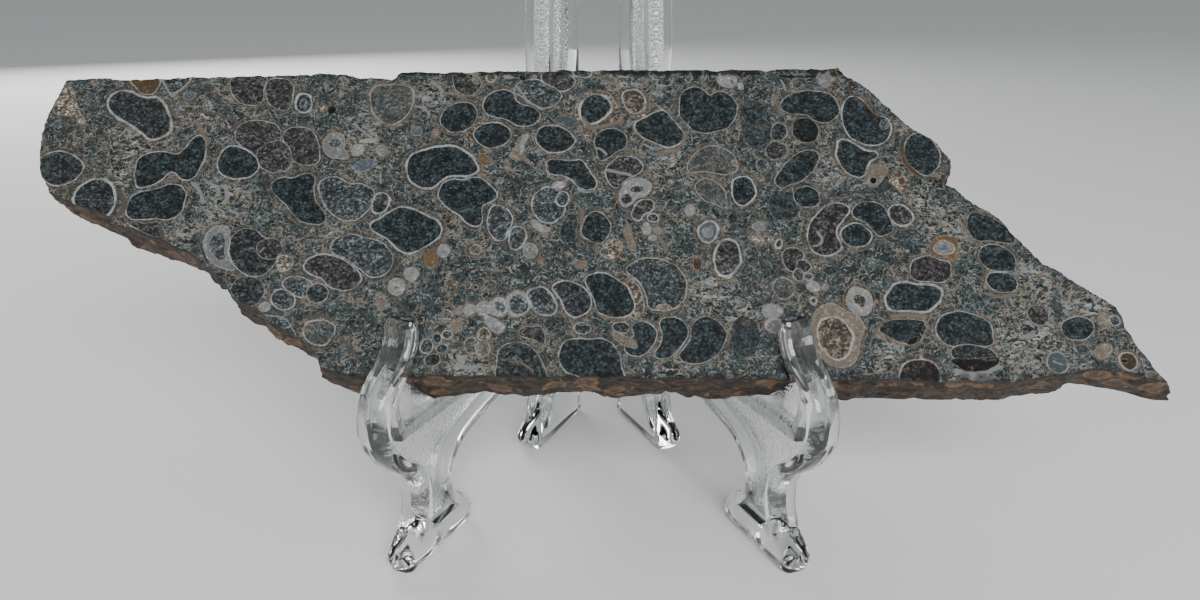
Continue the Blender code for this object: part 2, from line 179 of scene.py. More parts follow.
# The shells cut open in the polished face. Each: what fills it, how thick its wall line is, how wide
# the tan shell around it is, how white its wall is, then its shape: (x, y, width, height, turn) of an
# oval, or the points of a smooth outline. Millimetres, in the stone's own axes; later ones lie on top.
SHELLS = [
    # Dark patches of the rock itself
    ("haze", 0.05, 0.0, 0.1, (33.6, 57.0, 6.6, 13.0, 5)),
    ("haze", 0.05, 0.0, 0.1, (38.2, 37.2, 6.4, 7.0, 0)),
    ("haze", 0.05, 0.0, 0.1, (28.4, 8.4, 5.6, 8.6, 0)),
    ("haze", 0.05, 0.0, 0.1, (-44.4, 43.0, 3.4, 3.0, 0)),
    ("haze", 0.05, 0.0, 0.1, (-6.0, 32.0, 3.0, 7.0, -15)),
    ("haze", 0.05, 0.0, 0.1, (58.6, 42.6, 5.0, 4.4, 0)),
    # Left end
    ("slate", 0.9, 0.5, 0.8, [
        (-105.7, 62.5), (-105.2, 64.6), (-103.6, 65.7), (-101.6, 65.3), (-99.8, 64.3), (-97.8, 63.7),
        (-95.8, 63.8), (-94.2, 62.4), (-92.6, 60.0), (-91.6, 57.6), (-91.6, 55.4), (-93.0, 53.9),
        (-94.9, 53.5), (-97.0, 54.9), (-99.4, 56.9), (-101.8, 58.3), (-103.9, 59.8), (-105.3, 61.1)]),
    ("pink", 0.2, 0.0, 0.6, [
        (-116.4, 67.6), (-114.8, 66.8), (-113.3, 63.8), (-111.5, 60.2), (-109.9, 57.1), (-112.3, 58.2),
        (-115.0, 59.4), (-117.2, 60.6), (-116.9, 64.2)]),
    ("slate", 0.45, 0.7, 0.8, [
        (-117.3, 48.4), (-115.3, 49.9), (-112.5, 50.1), (-109.9, 48.8), (-108.1, 46.8), (-108.2, 44.7),
        (-110.0, 42.8), (-112.3, 42.0), (-114.6, 42.9), (-116.4, 45.2)]),
    ("slate", 0.85, 1.1, 1.0, [
        (-108.1, 40.3), (-106.8, 42.3), (-104.3, 43.3), (-101.8, 42.6), (-100.3, 40.2), (-99.9, 37.4),
        (-100.8, 35.2), (-103.5, 34.9), (-106.5, 36.4), (-108.0, 38.3)]),
    ("dark", 0.45, 0.5, 0.8, [
        (-96.5, 48.4), (-94.7, 49.8), (-92.0, 50.1), (-90.0, 49.7), (-88.4, 49.4), (-87.3, 50.9),
        (-86.2, 53.0), (-84.7, 54.3), (-83.3, 52.2), (-82.9, 49.0), (-83.4, 46.0), (-84.6, 43.9),
        (-86.3, 43.5), (-87.7, 44.6), (-89.2, 45.4), (-90.8, 43.8), (-93.0, 42.2), (-95.4, 41.7),
        (-96.4, 43.6), (-96.8, 46.0)]),
    ("dark", 0.4, 0.5, 0.9, [
        (-96.9, 37.4), (-96.2, 39.3), (-94.5, 40.5), (-92.2, 40.9), (-90.5, 41.7), (-88.8, 42.4),
        (-87.0, 42.1), (-85.7, 40.5), (-85.3, 38.0), (-85.6, 36.0), (-86.7, 34.6), (-88.4, 34.1),
        (-90.6, 34.3), (-93.5, 34.0), (-95.5, 34.2), (-96.7, 35.6)]),
    ("brown", 0.2, 0.0, 0.5, [
        (-95.4, 33.2), (-92.6, 33.0), (-89.6, 33.2), (-88.6, 31.8), (-87.8, 29.2), (-90.4, 30.4),
        (-93.6, 31.8)]),
    ("blue", 0.3, 1.0, 0.3, (-88.7, 64.6, 2.4, 2.4, 0)),
    ("black", 0.1, 0.0, 0.2, (-88.7, 64.6, 0.7, 0.7, 0)),
    ("rust", 0.3, 0.4, 0.8, [
        (-102.0, 68.7), (-100.9, 66.9), (-99.4, 65.5), (-97.5, 64.9), (-96.4, 65.5), (-96.2, 68.9)]),
    ("grey", 0.5, 0.5, 0.8, [
        (-94.9, 68.9), (-93.8, 66.8), (-92.3, 65.2), (-91.0, 66.2), (-89.6, 68.0), (-89.3, 69.1)]),
    # Upper left
    ("brown", 0.3, 0.5, 0.6, [
        (-79.8, 69.4), (-79.8, 66.5), (-78.8, 64.2), (-77.2, 62.7), (-75.0, 61.9), (-73.4, 62.2),
        (-72.7, 63.7), (-72.9, 66.0), (-73.2, 69.6)]),
    ("brown", 0.3, 0.6, 0.8, [
        (-72.4, 67.2), (-71.6, 68.8), (-69.8, 69.0), (-67.8, 68.4), (-66.7, 66.8), (-66.4, 64.5),
        (-66.4, 62.2), (-67.2, 60.8), (-68.6, 60.7), (-70.1, 61.5), (-71.4, 63.0), (-72.2, 65.2)]),
    ("slate", 0.75, 0.6, 1.0, (-63.6, 62.6, 3.1, 4.5, 12)),
    ("grey", 0.2, 0.0, 0.6, (-63.7, 62.6, 1.4, 2.2, 12)),
    ("brown", 0.3, 0.6, 0.6, [
        (-77.2, 55.2), (-75.9, 57.3), (-73.2, 58.1), (-70.4, 57.7), (-68.3, 56.3), (-67.4, 54.2),
        (-68.0, 51.5), (-70.0, 50.0), (-72.0, 49.4), (-74.5, 50.9), (-76.6, 52.8)]),
    ("brown", 0.3, 0.6, 0.7, [
        (-66.8, 53.8), (-66.2, 55.8), (-64.3, 56.4), (-62.2, 56.1), (-60.4, 54.4), (-59.2, 51.6),
        (-58.7, 48.9), (-59.4, 47.4), (-61.6, 46.9), (-63.5, 47.9), (-65.2, 50.4), (-66.4, 52.2)]),
    ("brown", 0.3, 0.6, 0.7, [
        (-71.9, 48.6), (-71.2, 46.9), (-69.5, 45.8), (-67.2, 45.3), (-65.3, 45.8), (-64.4, 47.4),
        (-64.7, 49.5), (-66.0, 51.6), (-67.8, 53.0), (-70.0, 52.4), (-71.6, 50.8)]),
    ("dark", 0.45, 0.8, 0.9, [
        (-79.9, 48.4), (-79.2, 50.4), (-77.6, 51.6), (-75.2, 50.9), (-73.0, 49.5), (-71.8, 47.8),
        (-71.3, 46.0), (-72.2, 44.6), (-74.2, 43.9), (-76.5, 43.8), (-78.6, 45.0), (-79.7, 46.7)]),
    ("pale", 0.2, 0.7, 0.9, [
        (-58.1, 53.9), (-57.0, 54.9), (-55.2, 54.8), (-54.0, 53.4), (-53.8, 51.5), (-52.9, 49.9),
        (-52.5, 48.9), (-53.6, 48.4), (-55.2, 48.7), (-56.6, 49.1), (-57.8, 50.6), (-58.3, 52.2)]),
    ("grey", 0.15, 0.0, 0.4, (-55.9, 52.4, 2.6, 2.0, 0)),
    ("tan", 0.2, 0.0, 0.3, (-52.4, 51.6, 2.4, 2.6, 0)),
    ("white", 0.2, 0.5, 0.9, (-50.7, 50.6, 2.4, 3.0, -20)),
    ("blue", 0.15, 0.0, 0.8, (-49.2, 47.0, 4.6, 2.6, 20)),
    ("pale", 0.2, 0.4, 0.9, (-45.7, 50.6, 2.2, 2.8, 20)),
    ("ghost", 0.6, 0.3, 0.35, [
        (-48.8, 66.5), (-45.0, 67.3), (-41.0, 66.5), (-40.3, 62.0), (-42.0, 58.5), (-44.8, 57.2),
        (-48.0, 59.5), (-49.2, 63.0)]),
    ("tan", 0.1, 0.0, 0.3, (-59.3, 61.4, 1.4, 2.4, 10)),
    ("black", 0.1, 0.0, 0.1, (-57.4, 60.8, 2.0, 2.2, 10)),
    # Left middle
    ("dark", 0.3, 0.9, 0.6, [
        (-67.8, 41.4), (-67.2, 43.3), (-65.4, 43.9), (-63.8, 43.8), (-62.2, 44.5), (-60.2, 44.7),
        (-58.9, 43.5), (-59.1, 41.0), (-58.5, 38.6), (-56.8, 36.2), (-55.8, 34.2), (-57.6, 32.9),
        (-60.5, 33.7), (-62.6, 35.5), (-64.2, 37.6), (-66.4, 39.5)]),
    ("grey", 0.4, 0.5, 0.7, [
        (-57.9, 41.6), (-57.3, 43.2), (-55.5, 44.0), (-53.4, 43.4), (-51.6, 42.2), (-49.5, 42.5),
        (-47.7, 41.8), (-46.6, 40.2), (-46.6, 38.2), (-47.5, 36.2), (-48.9, 34.4), (-51.0, 33.8),
        (-53.5, 34.6), (-55.6, 36.6), (-57.2, 39.2)]),
    ("brown", 0.65, 0.5, 0.9, (-44.9, 37.9, 3.3, 4.4, -8)),
    ("pale", 0.3, 0.7, 0.9, [
        (-79.7, 29.4), (-78.7, 31.5), (-76.8, 32.5), (-75.2, 32.1), (-74.7, 30.3), (-74.6, 28.0),
        (-74.4, 25.8), (-73.8, 24.3), (-72.9, 22.9), (-74.5, 22.9), (-76.2, 23.5), (-78.0, 25.2),
        (-79.4, 27.4)]),
    ("grey", 0.15, 0.0, 0.7, [
        (-78.6, 28.8), (-77.8, 30.4), (-76.3, 30.8), (-75.6, 29.0), (-75.3, 26.5), (-74.9, 25.2),
        (-75.7, 24.7), (-77.2, 25.8), (-78.2, 27.2)]),
    ("slate", 0.35, 0.6, 0.8, [
        (-74.2, 30.0), (-73.1, 31.4), (-71.2, 31.9), (-69.4, 31.3), (-68.0, 30.0), (-66.2, 29.2),
        (-64.7, 27.9), (-64.3, 26.0), (-65.0, 24.2), (-65.8, 22.6), (-67.1, 21.5), (-68.6, 21.2),
        (-70.6, 21.9), (-72.4, 23.3), (-73.7, 25.2), (-74.4, 27.8)]),
    ("brown", 0.25, 0.3, 0.35, (-66.3, 27.3, 5.4, 4.6, -15)),
    ("pink", 0.4, 0.2, 0.8, (-62.9, 24.1, 3.0, 3.6, -20)),
    ("grey", 0.35, 0.9, 0.7, [
        (-53.9, 28.2), (-52.8, 29.7), (-50.6, 30.5), (-48.0, 30.0), (-45.2, 29.2), (-43.0, 28.0),
        (-41.6, 26.4), (-41.3, 24.4), (-42.2, 22.3), (-44.0, 21.2), (-46.0, 21.4), (-47.8, 23.0),
        (-50.2, 24.8), (-52.6, 26.0), (-53.7, 26.9)]),
    ("brown", 0.45, 0.6, 0.8, [
        (-58.8, 23.6), (-57.8, 25.2), (-55.5, 26.0), (-53.0, 25.5), (-50.5, 24.2), (-48.5, 22.5),
        (-47.5, 20.9), (-48.0, 19.3), (-49.8, 18.3), (-51.6, 18.3), (-53.4, 19.1), (-55.2, 20.8),
        (-57.6, 22.0)]),
    ("grey", 0.6, 0.4, 0.7, (-59.4, 18.9, 6.2, 3.7, -22)),
    ("slate", 0.35, 0.5, 0.7, (-55.6, 17.5, 4.0, 4.0, 0)),
    ("grey", 0.6, 0.5, 0.9, (-62.2, 16.1, 4.8, 3.7, -28)),
    ("white", 0.1, 0.5, 0.9, (-65.6, 14.5, 2.2, 2.0, 0)),
    ("grey", 0.35, 0.8, 0.6, [
        (-65.4, 12.0), (-63.2, 12.5), (-60.9, 11.5), (-59.5, 9.8), (-58.9, 8.2), (-61.0, 8.2),
        (-63.2, 9.4)]),
    ("ghost", 0.45, 0.6, 0.7, [
        (-57.2, 9.4), (-56.7, 11.2), (-55.0, 11.6), (-52.6, 11.3), (-51.3, 10.0), (-51.8, 7.8),
        (-53.5, 6.5), (-56.0, 7.2)]),
    ("slate", 0.15, 0.0, 0.3, [
        (-72.6, 19.0), (-71.4, 20.8), (-69.0, 21.0), (-66.6, 19.6), (-66.2, 17.2), (-67.6, 14.8),
        (-70.0, 15.4), (-72.0, 17.0)]),
    ("cream", 0.1, 0.0, 0.8, (-42.8, 16.0, 2.2, 4.2, 22)),
    ("white", 0.2, 0.7, 1.0, (-40.0, 18.9, 3.3, 4.0, 5)),
    ("tan", 0.1, 0.0, 0.2, (-40.0, 18.9, 0.9, 1.2, 0)),
    # Upper middle
    ("dark", 0.75, 0.5, 0.85, [
        (-40.0, 47.6), (-39.4, 49.0), (-37.4, 50.2), (-34.5, 51.2), (-31.8, 51.5), (-29.4, 50.9),
        (-27.3, 49.3), (-25.9, 47.2), (-25.3, 45.5), (-26.9, 44.7), (-29.5, 44.7), (-31.8, 44.4),
        (-33.2, 42.9), (-34.8, 41.7), (-36.9, 41.7), (-38.8, 43.2), (-39.9, 45.4)]),
    ("dark", 0.4, 0.7, 0.8, [
        (-33.0, 40.6), (-32.2, 42.5), (-30.4, 43.4), (-28.2, 43.2), (-26.0, 43.8), (-23.8, 43.2),
        (-22.0, 41.6), (-21.0, 39.7), (-22.1, 38.2), (-23.9, 37.4), (-24.0, 35.5), (-23.9, 33.7),
        (-24.8, 32.4), (-26.8, 33.2), (-28.4, 35.1), (-30.3, 36.4), (-32.0, 38.0), (-32.9, 39.4)]),
    ("grey", 0.45, 0.4, 0.9, [
        (-22.2, 35.8), (-21.5, 37.1), (-20.2, 37.1), (-18.7, 36.0), (-17.7, 34.6), (-17.8, 32.6),
        (-18.7, 31.0), (-19.2, 29.5), (-20.4, 29.2), (-21.8, 30.5), (-22.5, 32.2), (-22.6, 34.2)]),
    ("grey", 0.55, 0.4, 0.95, [
        (-17.8, 31.2), (-17.0, 32.3), (-15.7, 32.1), (-14.9, 30.8), (-15.2, 29.0), (-16.4, 27.4),
        (-17.5, 27.5), (-18.1, 29.1)]),
    ("pale", 0.15, 0.5, 1.0, (-13.7, 26.9, 2.7, 3.6, 5)),
    ("grey", 0.1, 0.0, 0.3, (-13.9, 27.1, 0.9, 1.1, 0)),
    ("cream", 0.1, 0.3, 0.5, (-11.5, 24.6, 0.9, 1.1, 0)),
    ("brown", 0.3, 0.4, 0.5, [
        (-31.6, 69.8), (-31.4, 67.0), (-30.6, 65.6), (-28.8, 64.5), (-27.0, 64.9), (-26.0, 66.2),
        (-25.8, 68.2), (-26.8, 69.9)]),
    ("dark", 0.35, 0.5, 0.6, [
        (-33.6, 59.4), (-32.5, 61.1), (-30.5, 62.4), (-28.3, 62.7), (-26.8, 61.7), (-26.3, 60.0),
        (-26.5, 58.0), (-27.7, 56.2), (-29.4, 55.3), (-31.6, 55.3), (-33.2, 56.6), (-33.8, 58.0)]),
    ("dark", 0.4, 0.6, 0.7, [
        (-24.9, 62.4), (-24.2, 64.2), (-22.4, 65.5), (-20.2, 65.8), (-18.6, 65.1), (-18.0, 63.6),
        (-17.0, 62.3), (-14.8, 61.6), (-12.9, 60.2), (-12.7, 58.7), (-13.9, 57.3), (-16.0, 56.8),
        (-18.2, 57.3), (-19.7, 58.4), (-21.5, 58.8), (-23.4, 59.5), (-24.6, 60.6)]),
    ("tan", 0.1, 0.0, 0.2, [
        (-28.6, 53.8), (-27.4, 55.4), (-26.2, 57.0), (-24.4, 58.2), (-25.6, 56.0), (-26.2, 53.6),
        (-25.6, 52.2), (-27.2, 52.6)]),
    ("dark", 0.45, 0.4, 0.8, [
        (-26.3, 54.4), (-25.4, 56.4), (-23.5, 57.4), (-21.4, 57.4), (-19.6, 56.2), (-18.8, 54.8),
        (-19.4, 53.0), (-21.0, 51.8), (-23.2, 51.4), (-25.2, 52.3)]),
    ("cream", 0.1, 0.4, 0.4, (-34.7, 54.8, 1.4, 2.4, -10)),
    ("white", 0.1, 0.3, 0.9, [
        (-15.0, 54.7), (-16.3, 54.0), (-16.6, 52.2), (-16.4, 50.6), (-16.8, 49.4), (-15.9, 50.2),
        (-15.7, 52.2)]),
    ("cream", 0.1, 0.0, 0.9, [
        (-16.4, 54.2), (-17.5, 51.6), (-18.5, 49.0), (-15.8, 48.0), (-13.6, 46.9), (-14.9, 48.3),
        (-16.5, 49.8), (-16.8, 51.6)]),
    ("dark", 0.5, 0.4, 0.7, [
        (-13.0, 54.5), (-12.4, 56.1), (-10.8, 56.6), (-8.9, 56.5), (-7.2, 55.9), (-5.8, 54.5),
        (-5.3, 52.8), (-6.5, 50.9), (-8.6, 50.1), (-10.6, 50.3), (-12.2, 51.7), (-13.0, 53.0)]),
    ("dark", 0.5, 0.3, 0.7, [
        (-11.0, 47.0), (-10.3, 48.2), (-8.0, 48.2), (-5.6, 48.0), (-3.8, 48.2), (-2.8, 46.8),
        (-1.6, 44.8), (-0.5, 42.6), (-0.9, 41.4), (-3.1, 41.3), (-4.5, 42.1), (-5.5, 43.6),
        (-7.4, 44.5), (-9.4, 44.8), (-10.6, 45.5)]),
    ("mint", 0.1, 0.0, 0.3, [
        (-9.4, 58.7), (-7.0, 59.2), (-5.6, 58.5), (-5.5, 56.3), (-7.4, 57.0)]),
    ("grey", 0.55, 0.6, 0.9, (-10.2, 37.4, 6.4, 8.2, 8)),
    ("grey", 0.6, 0.2, 0.9, (-7.4, 38.9, 2.4, 3.2, -15)),
    ("white", 0.1, 0.55, 1.0, (-8.2, 42.1, 2.8, 2.0, 8)),
    ("white", 0.1, 0.4, 1.0, [
        (-14.0, 34.0), (-12.9, 33.8), (-11.5, 32.7), (-9.7, 31.6), (-11.3, 31.0), (-12.9, 31.8)]),
    ("brown", 0.5, 0.5, 0.9, [
        (-12.0, 70.6), (-12.0, 68.3), (-10.8, 66.6), (-8.8, 65.8), (-6.8, 66.1), (-5.5, 67.4),
        (-5.4, 68.9), (-7.0, 70.2), (-9.4, 70.8)]),
    ("grey", 0.5, 0.3, 0.9, (-3.5, 70.9, 4.0, 3.0, 0)),
    ("grey", 0.45, 0.5, 0.6, [
        (-18.2, 65.5), (-17.4, 67.5), (-15.6, 68.6), (-13.4, 68.7), (-11.6, 67.6), (-9.6, 66.4),
        (-8.3, 64.6), (-9.0, 62.8), (-10.5, 61.7), (-12.4, 61.5), (-14.6, 62.9), (-16.4, 64.2)]),
    ("blue", 0.3, 0.8, 0.4, (-38.8, 55.4, 2.0, 2.2, 0)),
    ("white", 0.1, 0.2, 0.9, (-37.2, 63.7, 2.3, 1.6, 0)),
    ("tan", 0.6, 0.3, 0.9, (-23.4, 69.4, 2.0, 2.0, 0)),
    ("cream", 0.1, 0.0, 0.6, (-26.9, 68.8, 1.4, 3.0, 0)),
    ("white", 0.1, 0.0, 0.8, (-19.8, 69.5, 2.2, 1.2, -20)),
    ("black", 0.1, 0.0, 0.1, (-16.6, 69.2, 1.3, 1.7, 30)),
    ("gold", 0.1, 0.0, 0.2, (-24.0, 48.4, 1.8, 3.2, 35)),
    ("cream", 0.1, 0.2, 0.3, (-19.2, 47.0, 1.0, 3.0, 10)),
    # Middle, low
    ("dark", 0.6, 0.8, 0.8, [
        (-46.3, 32.6), (-44.4, 34.2), (-42.2, 36.0), (-40.2, 36.8), (-37.6, 36.1), (-35.0, 34.9),
        (-32.9, 33.2), (-31.9, 31.4), (-32.9, 29.6), (-35.0, 27.9), (-37.6, 26.5), (-39.4, 26.7),
        (-41.0, 28.2), (-42.8, 29.8), (-45.0, 31.0)]),
    ("gold", 0.15, 0.5, 0.2, (-33.6, 25.3, 3.0, 3.8, 0)),
    ("white", 0.1, 0.3, 1.0, (-31.1, 26.9, 2.3, 3.0, 0)),
    ("white", 0.1, 0.3, 1.0, (-37.3, 21.6, 2.6, 3.2, 25)),
    ("ghost", 0.6, 0.5, 0.3, (-24.8, 27.2, 2.2, 2.0, 0)),
    ("ghost", 0.5, 0.4, 0.3, (-21.5, 19.3, 2.2, 2.0, 0)),
    ("black", 0.2, 0.2, 0.2, (-24.1, 18.8, 0.7, 0.9, 0)),
    ("pale", 0.1, 0.25, 0.5, (-27.5, 13.9, 2.2, 1.3, 12)),
    ("white", 0.15, 0.3, 0.9, (-25.2, 14.0, 2.5, 2.5, 0)),
    ("white", 0.15, 0.3, 0.9, (-22.6, 14.2, 3.0, 3.1, 0)),
    ("white", 0.15, 0.3, 0.9, (-19.7, 14.6, 3.9, 4.1, 15)),
    ("grey", 0.15, 0.0, 0.4, (-19.3, 14.6, 1.8, 2.8, 25)),
    ("white", 0.15, 0.3, 0.9, (-15.9, 15.2, 5.0, 5.4, 10)),
    ("grey", 0.15, 0.0, 0.5, (-15.7, 15.1, 3.7, 4.3, 15)),
    ("grey", 0.6, 0.4, 0.9, [
        (-14.0, 17.3), (-12.6, 18.5), (-10.8, 18.4), (-9.3, 17.0), (-8.4, 14.8), (-8.9, 13.2),
        (-10.4, 12.7), (-12.0, 13.4), (-13.1, 15.2)]),
    ("slate", 0.5, 0.5, 0.9, [
        (-9.0, 18.9), (-7.4, 19.9), (-5.0, 19.7), (-3.0, 18.5), (-1.8, 16.6), (-1.7, 14.6),
        (-2.8, 13.1), (-5.0, 12.6), (-6.5, 13.8), (-7.2, 15.8), (-8.2, 17.6)]),
    ("tan", 0.3, 0.3, 0.6, [
        (5.6, 18.8), (6.9, 16.6), (7.2, 14.0), (6.2, 12.6), (8.2, 12.9), (8.9, 15.4), (8.3, 17.8),
        (6.8, 20.0), (4.6, 22.0), (3.4, 21.9)]),
    ("dark", 0.45, 0.3, 0.8, [
        (-2.4, 20.6), (-1.0, 21.6), (1.2, 21.7), (3.4, 20.6), (5.4, 18.9), (6.8, 16.4), (6.9, 14.0),
        (5.4, 12.7), (2.6, 12.6), (0.4, 13.4), (-0.6, 15.2), (-1.6, 18.0)]),
    ("dusk", 0.45, 0.4, 0.45, [
        (5.6, 22.4), (6.8, 23.8), (9.0, 24.9), (11.6, 25.0), (14.4, 24.1), (16.4, 22.3), (17.3, 19.6),
        (16.9, 16.8), (15.5, 14.7), (12.2, 14.0), (9.9, 14.4), (9.5, 17.4), (8.0, 20.2)]),
    ("cream", 0.2, 0.2, 0.9, (12.9, 14.4, 2.8, 1.5, 0)),
    ("tan", 0.45, 0.2, 0.8, (-22.2, 8.8, 2.3, 2.6, 0)),
    ("white", 0.15, 0.2, 1.0, [
        (-22.2, 12.5), (-20.8, 12.4), (-19.5, 11.4), (-18.3, 10.7), (-18.4, 9.5), (-19.6, 9.1),
        (-20.9, 9.9), (-21.9, 11.2)]),
    ("cream", 0.2, 0.2, 0.4, (-27.6, 11.0, 1.8, 3.0, -35)),
    ("grey", 0.4, 0.2, 0.7, (-29.3, 8.7, 1.6, 1.5, 0)),
    ("dark", 0.4, 0.2, 0.7, (-31.2, 7.9, 1.6, 1.8, 0)),
    ("dark", 0.4, 0.2, 0.7, (-30.1, 5.9, 2.0, 1.9, 0)),
    ("grey", 0.4, 0.2, 0.8, (-33.1, 6.3, 2.2, 2.5, 0)),
    ("teal", 0.35, 0.2, 0.5, (-31.9, 3.5, 3.0, 2.6, 0)),
    ("ghost", 0.35, 0.3, 0.5, (-24.5, 6.4, 2.6, 3.2, 0)),
    ("ghost", 0.3, 0.3, 0.45, (-22.3, 5.8, 2.6, 3.0, 0)),
    ("plum", 0.25, 0.4, 0.4, [
        (-15.2, 8.6), (-14.8, 10.0), (-12.8, 10.3), (-11.0, 10.2), (-10.5, 8.4), (-10.8, 6.6),
        (-12.4, 7.6)]),
    ("slate", 0.25, 1.1, 0.75, [
        (-19.4, 3.0), (-18.9, 5.4), (-17.0, 6.8), (-14.8, 6.8), (-12.8, 5.6), (-11.0, 3.4),
        (-10.1, 1.0), (-10.0, -1.2), (-14.6, -1.6), (-19.0, -1.2)]),
    ("dark", 0.4, 0.9, 0.6, [
        (-7.4, 3.6), (-7.1, 6.0), (-6.0, 7.5), (-4.0, 7.6), (-1.6, 7.5), (0.4, 7.8), (2.4, 6.8),
        (3.8, 4.8), (4.4, 2.4), (4.6, -0.8), (-1.0, -1.2), (-4.6, 0.6), (-6.6, 1.4)]),
    ("grey", 0.35, 0.5, 0.5, (-3.1, 10.0, 3.0, 2.4, 0)),
    ("cream", 0.1, 0.2, 0.3, (-3.4, 23.9, 2.6, 1.2, 25)),
    # Middle, right of the centre line
    ("tan", 0.2, 0.3, 0.4, [
        (-4.9, 61.5), (-3.6, 64.6), (-0.2, 65.9), (2.4, 64.7), (3.9, 61.9), (5.0, 58.8), (3.8, 57.9),
        (1.2, 57.2), (-1.2, 55.6), (-2.3, 53.2), (-3.5, 56.2), (-4.8, 58.6)]),
    ("dark", 0.8, 0.0, 1.0, [
        (-3.9, 60.6), (-3.4, 62.8), (-1.8, 64.4), (0.0, 64.5), (1.7, 63.5), (2.6, 61.7), (2.0, 60.0),
        (0.2, 58.4), (-1.8, 57.4), (-3.3, 58.2)]),
    ("tan", 0.2, 0.0, 0.5, [
        (9.6, 60.2), (10.6, 61.6), (13.0, 61.8), (15.3, 60.9), (13.4, 60.6), (11.2, 59.6),
        (9.0, 58.4), (7.2, 57.6), (6.4, 56.4), (6.6, 58.6), (8.0, 59.6)]),
    ("crystal", 0.5, 0.5, 0.9, [
        (5.2, 64.4), (6.0, 65.7), (8.0, 65.9), (9.5, 64.9), (10.1, 63.2), (9.7, 61.3), (8.4, 60.2),
        (6.9, 60.3), (5.9, 61.7), (5.3, 63.2)]),
    ("dark", 0.45, 0.3, 0.8, [
        (7.9, 56.6), (8.6, 57.9), (10.4, 58.9), (12.2, 60.1), (14.1, 60.4), (15.6, 58.8),
        (16.8, 56.9), (17.9, 55.5), (18.1, 53.8), (16.8, 52.3), (15.0, 51.4), (12.4, 52.2),
        (10.0, 53.6), (8.4, 55.2)]),
    ("dark", 0.3, 1.2, 0.7, [
        (17.4, 61.5), (17.9, 64.4), (19.2, 66.2), (21.0, 66.6), (22.8, 65.8), (23.8, 64.5),
        (24.8, 65.0), (26.0, 65.6), (27.6, 65.2), (29.2, 63.4), (29.8, 61.0), (29.2, 58.6),
        (27.6, 56.6), (25.4, 55.3), (22.8, 55.0), (20.4, 55.7), (18.5, 57.7), (17.5, 59.6)]),
    ("dark", 0.3, 0.7, 0.5, [
        (-0.8, 53.4), (0.2, 55.0), (2.0, 55.9), (4.0, 55.7), (5.5, 54.6), (6.0, 52.9), (5.4, 51.4),
        (3.8, 50.3), (2.4, 49.2), (1.0, 48.3), (-0.1, 48.7), (-0.3, 50.4), (-0.7, 51.8)]),
    ("brown", 0.35, 0.7, 0.75, [
        (1.7, 45.4), (2.2, 47.0), (3.6, 48.5), (5.6, 49.3), (7.6, 48.8), (8.9, 47.4), (9.0, 45.9),
        (7.8, 44.8), (6.2, 43.8), (5.0, 42.5), (3.8, 41.6), (2.6, 42.3), (1.9, 43.8)]),
    ("white", 0.2, 0.6, 0.9, [
        (5.2, 42.0), (6.8, 43.5), (9.0, 43.9), (10.7, 42.7), (10.9, 41.0), (9.6, 39.7), (7.7, 39.1),
        (6.7, 37.6), (5.6, 36.9), (4.5, 38.0), (4.2, 40.2)]),
    ("brown", 0.2, 0.0, 0.4, (7.9, 41.2, 2.8, 1.5, 10)),
    ("slate", 0.15, 0.0, 0.5, (5.8, 38.9, 2.2, 2.8, -20)),
    ("brown", 0.5, 0.5, 0.8, [
        (7.5, 36.8), (8.6, 38.4), (10.5, 38.5), (11.3, 37.3), (10.6, 36.0), (9.2, 35.4), (8.6, 34.2),
        (7.7, 34.0), (7.0, 35.2)]),
    ("brown", 0.4, 0.4, 0.9, (11.1, 34.3, 2.2, 1.8, 0)),
    ("white", 0.1, 0.3, 0.9, (9.8, 31.9, 1.9, 2.9, 10)),
    ("pale", 0.1, 0.3, 0.9, (12.0, 31.5, 1.5, 2.0, 0)),
    ("white", 0.1, 0.3, 0.9, (11.0, 29.7, 1.7, 1.5, 0)),
    ("dark", 0.15, 0.4, 0.5, (13.1, 29.4, 1.0, 1.1, 0)),
    ("dark", 0.35, 1.0, 0.6, [
        (-3.3, 31.6), (-2.9, 33.8), (-2.0, 35.4), (-0.4, 35.8), (1.2, 34.9), (2.2, 33.2), (2.2, 31.0),
        (1.2, 29.2), (-0.2, 28.6), (-1.8, 29.2), (-3.0, 30.2)]),
    ("pink", 0.3, 0.4, 0.6, (2.8, 27.3, 3.6, 4.4, -25)),
    ("grey", 0.25, 0.2, 0.5, (1.2, 26.6, 1.6, 1.4, 20)),
    ("cream", 0.1, 0.2, 0.5, [
        (5.1, 31.4), (6.0, 32.9), (6.8, 30.8), (7.3, 28.4), (7.2, 26.9), (5.9, 27.6), (5.6, 29.6)]),
    ("ghost", 0.4, 0.5, 0.35, [
        (18.8, 45.8), (19.6, 48.8), (21.6, 50.8), (24.4, 51.6), (27.0, 50.6), (28.8, 48.2),
        (28.6, 45.8), (26.6, 44.6), (23.8, 45.2), (21.0, 45.4)]),
    ("ghost", 0.35, 0.4, 0.35, [
        (20.3, 42.6), (20.4, 40.6), (21.9, 38.8), (24.2, 37.4), (26.0, 37.0), (26.2, 39.4),
        (25.2, 42.0), (23.0, 43.6)]),
    ("cream", 0.1, 0.2, 0.3, (28.6, 47.4, 1.4, 2.2, 25)),
    ("dark", 0.5, 1.2, 1.0, [
        (27.7, 41.0), (28.2, 43.2), (30.0, 44.1), (31.7, 43.2), (32.3, 41.0), (31.7, 38.9),
        (30.0, 37.4), (28.4, 38.3)]),
    ("white", 0.1, 0.3, 0.9, (28.0, 68.6, 4.2, 4.2, 0)),
    ("dark", 0.1, 0.0, 0.3, (28.9, 68.1, 0.8, 0.9, 0)),
    ("white", 0.1, 0.0, 0.6, (30.9, 67.0, 1.2, 2.0, 0)),
    ("dark", 0.4, 0.3, 0.5, [
